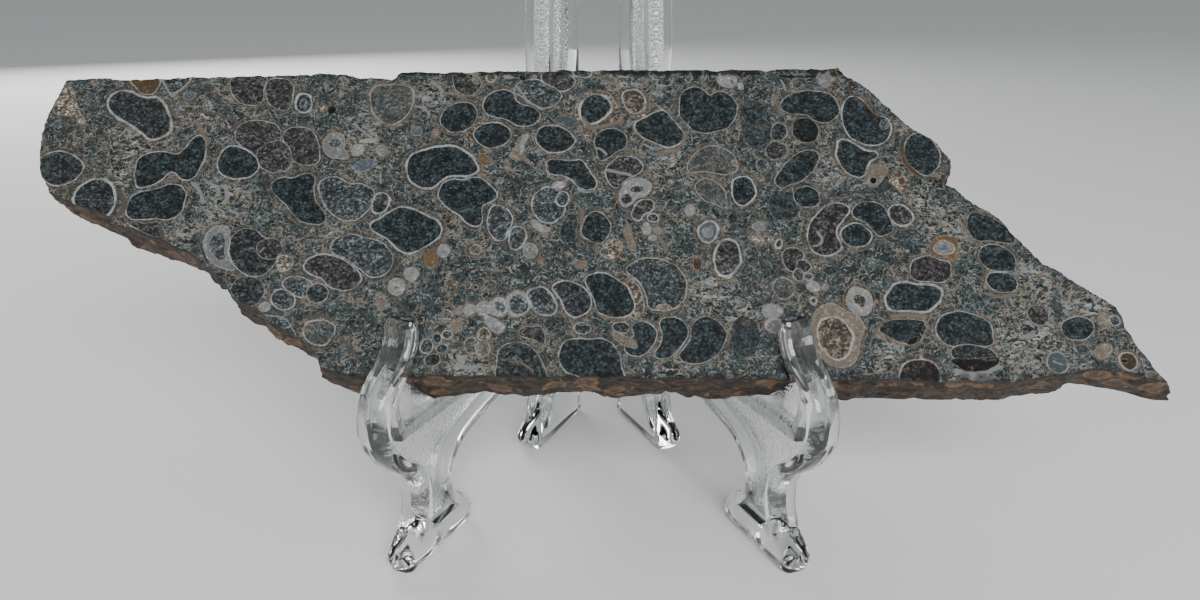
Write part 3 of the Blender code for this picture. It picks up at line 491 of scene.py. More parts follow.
        (6.6, 10.4), (8.0, 11.3), (10.0, 10.8), (11.1, 9.4), (10.9, 7.4), (9.8, 5.4), (8.0, 4.3),
        (6.0, 4.5), (5.1, 6.0), (6.2, 7.4), (7.0, 8.6)]),
    ("slate", 0.3, 0.3, 0.6, (4.5, 10.2, 3.2, 2.2, 0)),
    ("cream", 0.2, 0.2, 0.4, [
        (2.8, 9.4), (4.2, 8.6), (5.8, 8.0), (7.2, 7.4), (7.4, 6.0), (6.0, 6.2), (4.6, 6.8),
        (3.2, 7.8)]),
    ("gold", 0.2, 0.2, 0.9, (6.5, 6.9, 0.6, 0.6, 0)),
    ("dark", 0.35, 0.4, 0.6, [
        (12.0, 10.6), (12.8, 11.9), (14.6, 12.3), (16.3, 11.5), (17.2, 10.0), (17.0, 8.0),
        (15.8, 6.2), (14.2, 4.5), (12.6, 3.8), (10.9, 4.3), (11.9, 6.4), (12.4, 8.6)]),
    ("dark", 0.3, 0.4, 0.65, [
        (18.2, 10.6), (19.6, 12.1), (21.6, 12.3), (23.7, 11.1), (24.7, 9.0), (24.3, 6.6),
        (22.8, 4.6), (20.6, 3.1), (18.2, 2.8), (16.1, 3.3), (15.6, 4.5), (17.1, 6.4), (18.0, 8.4)]),
    ("white", 0.1, 0.5, 0.9, (18.8, 36.2, 2.3, 2.8, 0)),
    ("blue", 0.7, 0.6, 0.9, (22.3, 31.3, 3.3, 4.6, -20)),
    ("pale", 0.15, 0.0, 0.5, (22.2, 31.1, 1.9, 2.4, -20)),
    ("brown", 0.75, 0.5, 1.0, [
        (23.5, 25.4), (24.0, 27.5), (25.4, 29.1), (27.1, 28.9), (28.1, 27.2), (28.2, 25.0),
        (27.4, 22.8), (26.0, 21.4), (24.5, 21.7), (23.6, 23.4)]),
    ("moss", 0.2, 0.4, 0.1, (19.7, 24.0, 1.6, 2.8, 0)),
    ("white", 0.1, 0.2, 0.9, (34.1, 13.6, 4.2, 3.3, 0)),
    ("pale", 0.75, 0.3, 0.8, (35.0, 10.3, 4.6, 2.6, -10)),
    ("dark", 0.55, 0.3, 0.9, (36.4, 28.4, 1.1, 1.9, -25)),
    ("plum", 0.3, 0.4, 0.7, [
        (37.0, 25.6), (38.0, 27.2), (39.8, 27.5), (41.0, 26.2), (40.4, 24.4), (39.6, 23.0),
        (38.8, 22.2), (37.5, 23.4)]),
    ("pink", 0.2, 0.4, 0.5, [
        (31.0, 31.0), (32.4, 30.0), (34.8, 30.2), (35.4, 29.4), (33.4, 28.6), (31.4, 29.0)]),
    ("pale", 0.3, 0.3, 0.5, (32.6, 32.4, 2.6, 1.8, 0)),
    ("ghost", 0.35, 0.2, 0.3, (36.6, 18.6, 4.2, 4.4, 0)),
    ("slate", 0.3, 0.2, 0.4, (38.3, 55.2, 3.2, 4.6, -15)),
    ("brown", 0.25, 0.2, 0.35, (37.4, 50.6, 4.4, 4.4, 0)),
    ("grey", 0.25, 0.2, 0.6, (34.3, 46.9, 2.2, 3.0, 0)),
    ("cream", 0.1, 0.2, 0.4, (37.8, 63.4, 0.7, 3.6, -10)),
    # Right
    ("dark", 0.3, 0.9, 0.5, [
        (39.2, 61.4), (40.2, 63.4), (42.2, 65.0), (45.0, 65.6), (48.0, 65.4), (50.4, 64.6),
        (51.6, 62.6), (51.5, 60.2), (50.2, 58.5), (48.0, 57.6), (46.2, 58.2), (45.0, 59.6),
        (43.0, 59.8), (41.0, 60.0)]),
    ("deep", 0.2, 0.3, 0.3, (44.0, 55.6, 5.6, 6.2, 0)),
    ("pale", 0.15, 0.3, 0.8, [
        (47.8, 69.2), (48.4, 70.8), (50.2, 71.2), (52.0, 70.6), (52.2, 69.4), (50.8, 68.2),
        (49.8, 66.8), (48.6, 66.6)]),
    ("rust", 0.1, 0.0, 0.2, (51.6, 69.8, 1.4, 1.8, 20)),
    ("dark", 0.5, 0.6, 0.9, [
        (52.3, 60.2), (53.2, 62.7), (54.8, 64.2), (56.3, 63.8), (57.7, 62.2), (58.8, 60.2),
        (60.2, 59.0), (61.7, 58.3), (62.2, 56.4), (61.7, 54.2), (60.1, 52.5), (57.8, 51.9),
        (55.2, 52.7), (53.3, 54.6), (52.4, 57.2)]),
    ("grey", 0.2, 0.0, 0.4, (60.9, 57.0, 1.8, 2.4, -25)),
    ("dark", 0.7, 0.4, 0.7, [
        (50.6, 51.4), (51.4, 52.9), (52.9, 52.8), (54.4, 51.7), (56.2, 50.5), (58.5, 50.0),
        (58.5, 49.0), (56.9, 48.2), (56.0, 46.6), (55.6, 45.0), (54.2, 44.3), (52.4, 45.0),
        (51.0, 46.8), (50.3, 49.2)]),
    ("cream", 0.1, 0.3, 0.4, [
        (56.0, 46.4), (57.8, 47.3), (59.8, 46.9), (60.2, 44.8), (58.8, 43.0), (57.2, 41.6),
        (56.1, 42.0), (55.8, 44.2)]),
    ("black", 0.2, 0.0, 0.4, (57.2, 43.2, 1.4, 1.8, -15)),
    ("pink", 0.1, 0.3, 0.4, [
        (62.8, 45.8), (61.3, 44.4), (60.6, 43.1), (61.6, 41.6), (63.0, 40.3), (64.0, 41.2),
        (64.7, 42.6), (63.7, 44.0)]),
    ("rust", 0.1, 0.2, 0.2, (63.0, 43.0, 1.4, 2.0, 0)),
    ("dark", 0.4, 0.8, 0.9, [
        (64.6, 49.8), (64.9, 52.0), (66.1, 53.9), (67.9, 54.8), (69.7, 54.2), (71.1, 52.3),
        (71.8, 50.2), (71.6, 48.0), (70.3, 45.8), (68.9, 44.6), (67.5, 44.7), (66.0, 46.0),
        (64.9, 47.7)]),
    ("dark", 0.3, 0.7, 0.5, [
        (36.8, 42.8), (37.6, 45.2), (39.3, 47.3), (41.3, 49.3), (43.4, 50.3), (45.8, 50.3),
        (46.3, 48.6), (45.2, 46.4), (43.7, 44.5), (42.0, 43.2), (40.0, 42.3), (38.0, 41.5)]),
    ("dark", 0.3, 0.9, 0.5, (43.0, 39.4, 5.2, 4.8, 0)),
    ("plum", 0.5, 1.1, 0.85, [
        (42.4, 30.4), (43.0, 32.4), (44.1, 34.4), (45.7, 36.4), (48.0, 37.5), (50.2, 37.6),
        (51.3, 36.5), (50.5, 34.8), (49.0, 33.1), (48.2, 31.6), (48.3, 29.7), (48.9, 27.9),
        (47.6, 26.4), (45.7, 25.8), (43.8, 26.5), (42.6, 28.3)]),
    ("dark", 0.3, 0.6, 0.6, [
        (52.0, 35.6), (52.9, 37.2), (54.8, 38.1), (57.2, 37.9), (58.7, 36.7), (59.2, 34.8),
        (59.8, 33.0), (59.6, 31.4), (58.2, 30.5), (56.8, 30.2), (55.8, 31.5), (54.8, 33.1),
        (53.1, 34.0)]),
    ("dark", 0.45, 0.7, 0.8, [
        (49.3, 30.5), (50.0, 32.0), (51.5, 32.9), (53.3, 32.7), (54.8, 31.4), (55.1, 30.0),
        (54.2, 28.6), (52.3, 27.9), (50.3, 28.4)]),
    ("brown", 0.6, 0.7, 0.9, [
        (59.6, 35.8), (60.4, 37.1), (62.0, 37.4), (63.4, 36.4), (64.1, 34.8), (63.5, 33.3),
        (62.2, 32.8), (60.9, 33.0), (59.9, 34.2)]),
    ("brown", 0.3, 0.3, 0.6, (40.9, 23.4, 2.9, 2.7, 0)),
    ("brown", 0.3, 0.3, 0.6, (39.9, 21.5, 2.2, 2.6, 10)),
    ("brown", 0.35, 0.2, 0.9, (41.8, 21.1, 1.7, 1.3, 10)),
    ("white", 0.1, 0.2, 0.9, (42.4, 18.9, 2.8, 2.3, -15)),
    ("pale", 0.1, 0.2, 0.7, (44.8, 18.9, 1.6, 1.2, 30)),
    ("grey", 0.45, 0.1, 0.8, (42.3, 15.8, 0.9, 1.2, 0)),
    ("sand", 0.3, 0.5, 0.6, [
        (41.1, 9.2), (41.9, 12.2), (43.6, 14.6), (45.9, 15.3), (48.5, 13.6), (50.6, 12.4),
        (51.5, 10.2), (50.8, 7.4), (49.9, 4.6), (48.5, 2.5), (46.4, 2.0), (43.8, 3.0),
        (42.2, 5.8)]),
    ("crystal", 0.6, 0.0, 0.9, [
        (42.8, 8.8), (42.9, 10.2), (44.0, 11.7), (45.7, 12.2), (47.3, 11.7), (48.7, 10.0),
        (49.1, 8.0), (48.3, 5.5), (47.0, 3.9), (45.3, 3.8), (43.8, 5.2), (42.9, 7.2)]),
    ("white", 0.15, 0.7, 0.9, (51.4, 15.8, 5.0, 6.2, 8)),
    ("crystal", 0.1, 0.0, 0.4, (51.4, 15.8, 2.2, 3.0, 10)),
    ("gold", 0.1, 0.2, 0.2, [
        (66.8, 26.8), (67.3, 28.6), (68.4, 29.8), (70.0, 30.2), (72.2, 29.9), (72.7, 28.2),
        (71.8, 26.0), (71.1, 24.4), (69.6, 25.0), (67.8, 25.7)]),
    ("pale", 0.35, 0.0, 1.0, (69.6, 27.6, 4.0, 3.0, 12)),
    ("blue", 0.2, 0.0, 0.3, (69.6, 27.6, 1.9, 1.2, 12)),
    ("plum", 0.35, 0.4, 0.7, [
        (62.3, 22.8), (63.0, 24.6), (64.7, 25.5), (66.7, 25.5), (68.4, 24.7), (70.1, 24.1),
        (70.4, 22.6), (69.7, 20.8), (68.0, 19.9), (65.7, 20.0), (63.7, 20.3), (62.4, 21.2)]),
    ("dark", 0.85, 0.4, 0.8, [
        (56.8, 16.2), (57.6, 18.0), (59.0, 19.2), (60.8, 19.7), (63.0, 19.3), (65.6, 19.0),
        (67.6, 18.1), (67.6, 16.7), (66.3, 15.1), (64.7, 13.9), (62.2, 13.8), (59.0, 14.0),
        (57.2, 14.4)]),
    ("teal", 0.3, 0.3, 0.4, [
        (54.6, 9.4), (55.6, 11.0), (57.7, 11.7), (59.9, 11.8), (62.3, 11.8), (63.7, 11.1),
        (63.6, 9.7), (62.8, 8.3), (61.6, 6.9), (60.2, 6.7), (57.8, 7.3), (56.0, 8.3)]),
    ("cream", 0.1, 0.1, 0.3, (54.3, 8.8, 1.2, 3.2, 40)),
    ("black", 0.1, 0.0, 0.1, (60.8, 7.4, 2.8, 1.1, 30)),
    ("dark", 0.35, 0.4, 0.6, [
        (65.8, 10.3), (66.8, 12.1), (69.0, 13.3), (71.8, 13.3), (74.5, 12.4), (76.2, 11.0),
        (76.5, 8.8), (75.8, 6.5), (73.6, 6.3), (71.0, 7.0), (68.6, 6.2), (66.6, 7.2),
        (65.8, 8.8)]),
    ("slate", 0.3, 0.3, 0.4, [
        (68.0, 5.3), (69.5, 6.2), (71.4, 6.7), (73.8, 6.0), (75.8, 5.2), (76.4, 3.9), (72.6, 3.7),
        (68.6, 3.7)]),
    ("black", 0.1, 0.0, 0.1, [
        (67.8, 3.5), (70.8, 3.7), (73.8, 3.7), (76.9, 3.9), (75.6, 2.1), (73.2, 0.9), (70.4, 1.1),
        (68.6, 2.2)]),
    ("umber", 0.5, 1.2, 0.7, [
        (57.5, 0.2), (58.2, 1.9), (60.0, 3.2), (62.2, 3.5), (64.1, 2.7), (64.9, 1.0), (64.8, -1.0),
        (61.0, -1.8), (57.8, -1.2)]),
    ("teal", 0.2, 0.5, 0.4, [
        (75.2, 31.4), (75.4, 34.2), (76.6, 35.8), (79.6, 34.6), (82.2, 33.2), (84.0, 30.8),
        (84.0, 28.9), (81.6, 28.9), (79.0, 29.2), (76.6, 29.2)]),
    ("teal", 0.3, 0.5, 0.6, [
        (76.5, 25.4), (77.0, 27.2), (78.7, 28.1), (80.8, 28.0), (82.7, 26.9), (83.6, 25.0),
        (83.3, 23.1), (81.6, 22.3), (79.4, 22.6), (77.4, 23.2)]),
    ("teal", 0.35, 0.4, 0.6, [
        (77.2, 20.6), (78.2, 22.0), (80.0, 22.0), (82.2, 21.4), (83.0, 19.8), (82.3, 18.2),
        (80.4, 17.8), (78.4, 18.3), (77.4, 19.3)]),
    ("teal", 0.35, 0.9, 0.6, (93.2, 10.0, 6.4, 4.6, 14)),
    ("sand", 0.2, 0.2, 0.6, (97.2, 5.2, 3.8, 2.2, 35)),
    ("moss", 0.5, 0.3, 0.6, (101.6, 3.2, 3.2, 3.4, 0)),
    ("black", 0.1, 0.0, 0.4, (100.8, 3.2, 1.5, 0.9, 10)),
    ("sand", 0.15, 0.2, 0.7, (98.9, 12.2, 2.0, 2.4, 0)),
    ("grey", 0.3, 0.2, 0.7, (100.7, 11.6, 1.8, 2.0, 0)),
    ("brown", 0.2, 0.2, 0.3, (86.0, 12.8, 4.0, 4.0, 0)),
    ("mint", 0.35, 0.2, 0.5, (88.0, 2.9, 3.8, 4.0, 0)),
    ("white", 0.1, 0.0, 0.8, (85.1, 22.6, 1.6, 1.2, 10)),
    ("white", 0.1, 0.0, 0.9, (86.5, 23.1, 0.8, 0.8, 0)),
    ("cream", 0.1, 0.0, 0.4, (105.6, 0.2, 2.6, 2.0, -40)),
]

# Veins, shell edges and cracks: colour, width, then the points of the line
STREAKS = [
    ("white", 0.5, [(-95.5, 68.6), (-93.5, 65.8), (-92.2, 64.2)]),
    ("white", 0.5, [(-92.2, 64.2), (-90.2, 66.3), (-88.8, 68.8)]),
    ("cream", 0.7, [(-89.9, 55.0), (-88.6, 57.4), (-86.0, 57.6), (-84.0, 54.8), (-82.6, 52.2)]),
    ("tan", 0.7, [(-89.4, 60.0), (-85.6, 60.6), (-81.4, 59.6), (-77.6, 58.0), (-77.4, 55.8)]),
    ("tan", 1.0, [(-98.6, 34.4), (-97.4, 37.0), (-99.0, 41.0)]),
    ("tan", 0.8, [(-89.6, 32.6), (-87.8, 29.4)]),
    ("white", 0.7, [(-84.4, 42.6), (-82.4, 40.6), (-81.4, 37.8)]),
    ("white", 0.9, [(-77.6, 42.0), (-76.6, 39.4), (-77.2, 37.8)]),
    ("white", 0.6, [(-81.6, 42.8), (-79.2, 41.8), (-78.4, 39.8)]),
    ("white", 0.5, [(-76.0, 36.4), (-73.6, 35.2), (-71.6, 36.0)]),
    ("white", 0.5, [(-86.0, 31.0), (-83.0, 30.4), (-81.0, 31.6)]),
    ("white", 0.5, [(-52.4, 57.4), (-50.0, 55.2), (-48.0, 53.2)]),
    ("white", 0.4, [(-50.4, 57.0), (-48.2, 54.8), (-46.6, 52.8)]),
    ("white", 0.5, [(-45.6, 45.2), (-45.2, 42.6)]),
    ("white", 0.4, [(-56.0, 33.0), (-54.0, 31.8), (-51.8, 31.2)]),
    ("tan", 0.5, [(-49.6, 7.8), (-47.4, 5.4), (-46.0, 3.2)]),
    ("tan", 0.8, [(-57.4, 12.4), (-54.6, 12.8), (-51.8, 11.9)]),
    ("white", 0.6, [(-39.6, 61.8), (-37.6, 61.6), (-36.3, 60.0), (-36.6, 58.5)]),
    ("white", 0.6, [(-36.4, 68.2), (-34.2, 66.0), (-34.0, 64.0)]),
    ("white", 0.5, [(-18.0, 67.0), (-16.4, 64.8), (-15.4, 63.0), (-12.4, 61.0), (-10.4, 61.6)]),
    ("white", 0.5, [(-11.3, 48.0), (-10.6, 46.2), (-10.4, 44.2)]),
    ("white", 0.5, [(-4.4, 41.2), (-2.6, 40.5), (-0.5, 40.7)]),
    ("cream", 0.6, [(-4.9, 38.0), (-3.1, 36.0), (-3.6, 33.0)]),
    ("tan", 0.6, [(-30.0, 20.0), (-28.4, 18.4), (-26.8, 16.4)]),
    ("tan", 0.5, [(-40.4, 16.8), (-38.4, 14.4), (-36.2, 12.2)]),
    ("tan", 0.5, [(-34.0, 9.6), (-33.0, 10.8), (-31.5, 11.0)]),
    ("white", 0.9, [(-27.0, 2.4), (-24.4, 1.8), (-22.8, 2.3)]),
    ("white", 1.0, [(-26.2, -0.3), (-24.0, -0.2), (-22.2, -0.6)]),
    ("white", 0.8, [(-27.2, 4.2), (-26.2, 3.0), (-25.6, 4.2)]),
    ("cream", 0.4, [(-17.2, 3.0), (-14.6, 2.8), (-12.6, 1.4), (-11.8, -0.8)]),
    ("cream", 0.9, [(-3.2, 58.6), (-1.6, 56.0), (1.6, 56.8), (5.2, 58.0)]),
    ("cream", 0.7, [(11.8, 49.8), (14.2, 49.9), (16.6, 50.9), (18.4, 53.2), (18.6, 55.2)]),
    ("white", 0.5, [(9.6, 52.0), (11.2, 51.0), (13.2, 51.0)]),
    ("cream", 0.35, [(23.9, 64.6), (23.5, 63.2), (22.2, 62.0)]),
    ("white", 0.6, [(1.8, 45.8), (4.2, 45.3), (6.8, 44.5)]),
    ("white", 0.6, [(-0.6, 51.2), (0.6, 50.8), (1.6, 49.6)]),
    ("cream", 0.8, [(12.4, 29.6), (13.2, 27.8), (13.4, 26.6)]),
    ("cream", 0.7, [(1.0, 68.6), (2.8, 68.0), (4.6, 67.0)]),
    ("white", 0.4, [(12.6, 68.8), (12.9, 66.4)]),
    ("white", 0.6, [(19.2, 19.5), (20.8, 20.0), (22.6, 20.9)]),
    ("white", 0.5, [(20.4, 18.2), (21.8, 19.2), (23.4, 19.6)]),
    ("tan", 0.5, [(34.8, 54.0), (35.2, 56.6), (36.4, 58.2)]),
    ("cream", 0.5, [(38.4, 63.6), (38.6, 61.8), (39.4, 60.4)]),
    ("slate", 0.4, [(56.6, 61.8), (58.6, 58.4), (60.2, 55.6)]),
    ("rust", 0.5, [(54.5, 67.4), (54.4, 65.6), (57.4, 62.6), (59.2, 59.8), (60.6, 58.8)]),
    ("rust", 0.8, [(64.1, 51.0), (64.3, 48.2), (65.4, 45.6), (67.4, 43.9)]),
    ("white", 0.6, [(52.2, 41.0), (54.0, 42.1), (56.0, 42.5)]),
    ("cream", 0.5, [(52.8, 40.0), (54.4, 39.6), (56.0, 39.9)]),
    ("white", 0.5, [(39.9, 68.5), (40.2, 67.2), (40.7, 66.0)]),
    ("black", 0.6, [(39.4, 69.6), (43.6, 69.4), (47.6, 69.6)]),
    ("black", 0.5, [(70.5, 43.5), (68.6, 41.0), (67.8, 39.0), (67.2, 37.0)]),
    ("white", 0.35, [(69.8, 41.4), (68.6, 39.4), (68.0, 37.2)]),
    ("white", 0.6, [(44.4, 31.2), (45.3, 29.8), (44.8, 28.5), (43.3, 27.8)]),
    ("white", 0.6, [(70.2, 33.4), (71.8, 32.6), (72.8, 30.9)]),
    ("white", 0.5, [(68.4, 31.2), (66.6, 32.6)]),
    ("cream", 0.5, [(71.2, 19.2), (69.8, 16.8), (68.0, 14.8), (66.0, 13.9)]),
    ("white", 0.3, [(63.9, 12.4), (63.4, 10.4), (62.5, 8.5)]),
    ("cream", 0.8, [(57.2, 12.5), (60.4, 12.9), (64.0, 12.6)]),
    ("white", 0.9, [(68.4, 1.2), (70.6, 0.3), (74.0, 0.9), (76.4, 2.0)]),
    ("white", 0.7, [(69.4, 0.2), (72.6, -0.6), (75.6, -0.2)]),
    ("cream", 0.4, [(74.0, 34.0), (74.7, 31.2), (75.2, 28.8), (77.2, 28.6)]),
    ("cream", 0.7, [(76.9, 17.4), (79.6, 16.7), (82.4, 17.2)]),
    ("white", 0.6, [(83.6, 11.4), (84.6, 10.4)]),
    ("white", 0.5, [(87.2, 11.2), (88.6, 10.4)]),
    ("white", 0.8, [(86.4, 9.6), (87.4, 9.0)]),
    ("white", 0.8, [(82.0, 8.0), (84.4, 8.6)]),
    ("cream", 0.6, [(81.0, 6.0), (83.0, 5.4)]),
    ("white", 0.4, [(87.2, 3.2), (88.8, 2.6)]),
    ("white", 0.5, [(91.0, 13.8), (92.0, 12.9)]),
    ("tan", 0.9, [(94.2, 18.9), (95.6, 18.1)]),
    ("tan", 0.7, [(88.4, 23.2), (89.6, 22.4)]),
]


# Settings


class StoneSettings(bpy.types.PropertyGroup):
    """Sizes and colours of the slice of rock."""

    grid: bpy.props.FloatProperty(
        name="Face grid", description="Distance between the polished face's points",
        default=0.54 * MM, min=0.2 * MM, unit="LENGTH", precision=5,
    )
    back_grid: bpy.props.FloatProperty(
        name="Back grid", description="Distance between the sawn back's points",
        default=1.0 * MM, min=0.5 * MM, unit="LENGTH", precision=5,
    )
    rind_grid: bpy.props.FloatProperty(
        name="Edge grid", description="Distance between the broken edge's rows of points",
        default=0.8 * MM, min=0.3 * MM, unit="LENGTH", precision=5,
    )
    crag: bpy.props.FloatProperty(
        name="Edge roughness", description="How far the broken edge's small crags stand out",
        default=0.45 * MM, min=0.0, unit="LENGTH", precision=5,
    )
    chip: bpy.props.FloatProperty(
        name="Edge chips", description="How far chips bite into the polished face's edge",
        default=0.34 * MM, min=0.0, unit="LENGTH", precision=5,
    )
    mud: bpy.props.FloatVectorProperty(
        name="Mudstone", description="Colour of the rock between the shells",
        default=(0.032, 0.043, 0.044), size=3, min=0.0, max=1.0, subtype="COLOR",
    )
    brown_mud: bpy.props.FloatVectorProperty(
        name="Brown mudstone", description="Colour of the rock where it is browner",
        default=(0.045, 0.045, 0.039), size=3, min=0.0, max=1.0, subtype="COLOR",
    )
    gloom: bpy.props.FloatVectorProperty(
        name="Dark grains", description="Colour of the darkest grains and cracks",
        default=(0.0035, 0.0045, 0.005), size=3, min=0.0, max=1.0, subtype="COLOR",
    )
    fleck: bpy.props.FloatVectorProperty(
        name="Flecks", description="Colour of the small pale flecks",
        default=(0.185, 0.200, 0.198), size=3, min=0.0, max=1.0, subtype="COLOR",
    )
    tan_fleck: bpy.props.FloatVectorProperty(
        name="Tan flecks", description="Colour of the small tan flecks",
        default=(0.125, 0.098, 0.070), size=3, min=0.0, max=1.0, subtype="COLOR",
    )
    splinter: bpy.props.FloatVectorProperty(
        name="Splinters", description="Colour of the white splinters of shell",
        default=(0.270, 0.265, 0.245), size=3, min=0.0, max=1.0, subtype="COLOR",
    )
    shell_edge: bpy.props.FloatVectorProperty(
        name="Shell edges", description="Colour of thin crushed shells seen edge on",
        default=(0.165, 0.135, 0.100), size=3, min=0.0, max=1.0, subtype="COLOR",
    )
    halo: bpy.props.FloatVectorProperty(
        name="Outer shell", description="Colour of the tan outer shell",
        default=(0.044, 0.038, 0.031), size=3, min=0.0, max=1.0, subtype="COLOR",
    )
    halo_rim: bpy.props.FloatVectorProperty(
        name="Outer rim", description="Colour of the outer shell's pale rim",
        default=(0.128, 0.094, 0.064), size=3, min=0.0, max=1.0, subtype="COLOR",
    )
    wall_tan: bpy.props.FloatVectorProperty(
        name="Tan wall", description="Colour of a shell's wall at its brownest",
        default=(0.150, 0.128, 0.104), size=3, min=0.0, max=1.0, subtype="COLOR",
    )
    wall_white: bpy.props.FloatVectorProperty(
        name="White wall", description="Colour of a shell's wall at its whitest",
        default=(0.235, 0.248, 0.242), size=3, min=0.0, max=1.0, subtype="COLOR",
    )
    rust: bpy.props.FloatVectorProperty(
        name="Rind", description="Colour of the weathered rind",
        default=(0.048, 0.030, 0.018), size=3, min=0.0, max=1.0, subtype="COLOR",
    )
    light_rust: bpy.props.FloatVectorProperty(
        name="Pale rind", description="Colour of the rind's palest spots",
        default=(0.125, 0.074, 0.040), size=3, min=0.0, max=1.0, subtype="COLOR",
    )
    dark_rust: bpy.props.FloatVectorProperty(
        name="Dark rind", description="Colour of the rind's darkest spots",
        default=(0.010, 0.007, 0.005), size=3, min=0.0, max=1.0, subtype="COLOR",
    )
    saw_dust: bpy.props.FloatVectorProperty(
        name="Sawn stone", description="Pale grey that the sawn back has",
        default=(0.150, 0.162, 0.160), size=3, min=0.0, max=1.0, subtype="COLOR",
    )
    polish: bpy.props.FloatProperty(
        name="Polish", description="Roughness of the polished face",
        default=0.24, min=0.0, max=1.0,
    )


class EaselSettings(bpy.types.PropertyGroup):
    """Sizes and clearness of the moulded easel."""

    outline_step: bpy.props.FloatProperty(
        name="Outline step", description="Longest straight stretch of a frame's curved outline",
        default=1.2 * MM, min=0.5 * MM, unit="LENGTH", precision=5,
    )
    rim_round: bpy.props.FloatProperty(
        name="Rim rounding", description="Radius of the rims' moulded edges",
        default=2.0 * MM, min=0.1 * MM, unit="LENGTH", precision=5,
    )
    round_steps: bpy.props.IntProperty(
        name="Rounding steps", description="How many faces make up each rounded edge",
        default=6, min=1, max=8,
    )
    panel_round: bpy.props.FloatProperty(
        name="Panel rounding", description="Radius of the edge where a panel sinks in",
        default=0.5 * MM, min=0.05 * MM, unit="LENGTH", precision=5,
    )
    panel_draft: bpy.props.FloatProperty(
        name="Panel draft", description="How far a panel's walls lean in by its bottom",
        default=0.15 * MM, min=0.0, unit="LENGTH", precision=5,
    )
    pebble: bpy.props.FloatProperty(
        name="Pebble", description="Size of the pebble finish's bumps",
        default=0.6 * MM, min=0.1 * MM, unit="LENGTH", precision=5,
    )
    plastic: bpy.props.FloatVectorProperty(
        name="Plastic", description="Tint of the clear plastic",
        default=(0.97, 0.98, 0.975), size=3, min=0.0, max=1.0, subtype="COLOR",
    )


class StageSettings(bpy.types.PropertyGroup):
    """The floor, the light and the camera."""

    floor_color: bpy.props.FloatVectorProperty(
        name="Floor", description="Colour of the floor",
        default=(0.70, 0.70, 0.69), size=3, min=0.0, max=1.0, subtype="COLOR",
    )
    floor_size: bpy.props.FloatProperty(
        name="Floor size", description="Half the width of the floor",
        default=9.0, min=0.5, unit="LENGTH",
    )
    lamp_power: bpy.props.FloatProperty(
        name="Main lamp", description="Power of the large soft lamp, in watts",
        default=17.0, min=0.0, subtype="POWER",
    )
    back_power: bpy.props.FloatProperty(
        name="Back lamp", description="Power of the soft lamp behind, in watts",
        default=9.0, min=0.0, subtype="POWER",
    )
    lens: bpy.props.FloatProperty(
        name="Lens", description="The camera's focal length, in millimetres",
        default=30.0, min=8.0,
    )


# Lines


def smooth_line(points, step):
    """A closed line through the points, about a step apart, that only turns sharply at corners."""
    places = [Vector(p[:2]) * MM for p in points]
    sharp = [CORNER in p for p in points]
    count = len(places)
    line = []
    for i in range(count):
        k = (i + 1) % count
        start, end = places[i], places[k]
        chord = end - start
        leave = chord if sharp[i] else (end - places[i - 1]).normalized() * chord.length
        arrive = chord if sharp[k] else (places[(i + 2) % count] - start).normalized() * chord.length
        pieces = 1 if sharp[i] and sharp[k] else max(1, math.ceil(chord.length / step))
        for piece in range(pieces):
            t = piece / pieces
            line.append(
                start * (2 * t**3 - 3 * t**2 + 1)
                + leave * (t**3 - 2 * t**2 + t)
                + end * (3 * t**2 - 2 * t**3)
                + arrive * (t**3 - t**2)
            )
    return line


def outward_at(line, i):
    """Out of a clockwise line at its point i, longer at a corner so that both sides move alike."""
    before = (line[i] - line[i - 1]).normalized()
    after = (line[(i + 1) % len(line)] - line[i]).normalized()
    normal = Vector((-before.y, before.x))
    middle = (normal + Vector((-after.y, after.x))).normalized()
    return middle / max(middle.dot(normal), LONGEST_CORNER)


def distance_to(line, place):
    """How far the place is from the nearest stretch of a closed line."""
    best = math.inf
    for start, end in zip(line, line[1:] + line[:1]):
        along = end - start
        share = min(max((place - start).dot(along) / along.length_squared, 0.0), 1.0)
        best = min(best, (place - start - along * share).length)
    return best


def share_between(value, low, high):
    """Where the value lies from low, 0, to high, 1."""
    return min(max((value - low) / (high - low), 0.0), 1.0)


def rim_at(place):
    """Width of the rim beside a panel: it thins out up the lip."""
    if place.x > LIP_BACK:
        return RIM_WIDTH
    up = share_between(place.y, LIP_RIM_FROM, LIP_RIM_FULL)
    return RIM_WIDTH + (LIP_RIM_WIDTH - RIM_WIDTH) * up


def panel_line(outline):
    """The sunk panel's edge: points moved in by the rim, without folds, each after its number."""
    kept = []
    for i, place in enumerate(outline):
        rim = rim_at(place)
        inward = -outward_at(outline, i)
        edge = place + inward * rim
        deeper = edge + inward * NARROWEST_PANEL
        if edge.y > SOLID_FOOT_HEIGHT and distance_to(outline, deeper) > rim:
            kept.append((i, edge))
    return kept


# Meshes


def whole_geometry(faces):
    """The faces with their edges and corners, each once."""
    edges = {e for f in faces for e in f.edges}
    corners = {v for f in faces for v in f.verts}
    return [*corners, *edges, *faces]


def slice_faces(shape, faces, axis, cuts):
    """Cuts the faces at each of the places along the axis, the middle one first."""
    if not cuts or not faces:
        return
    middle = len(cuts) // 2
    place, normal = Vector(), Vector()
    place[axis], normal[axis] = cuts[middle], 1.0
    made = bmesh.ops.bisect_plane(
        shape, geom=whole_geometry(faces), dist=SAME_PLACE, plane_co=place, plane_no=normal
    )
    pieces = [g for g in made["geom"] if isinstance(g, bmesh.types.BMFace)]
    below, above = [], []
    for piece in pieces:
        side = below if piece.calc_center_median()[axis] < cuts[middle] else above
        side.append(piece)
    slice_faces(shape, below, axis, cuts[:middle])
    slice_faces(shape, above, axis, cuts[middle + 1:])


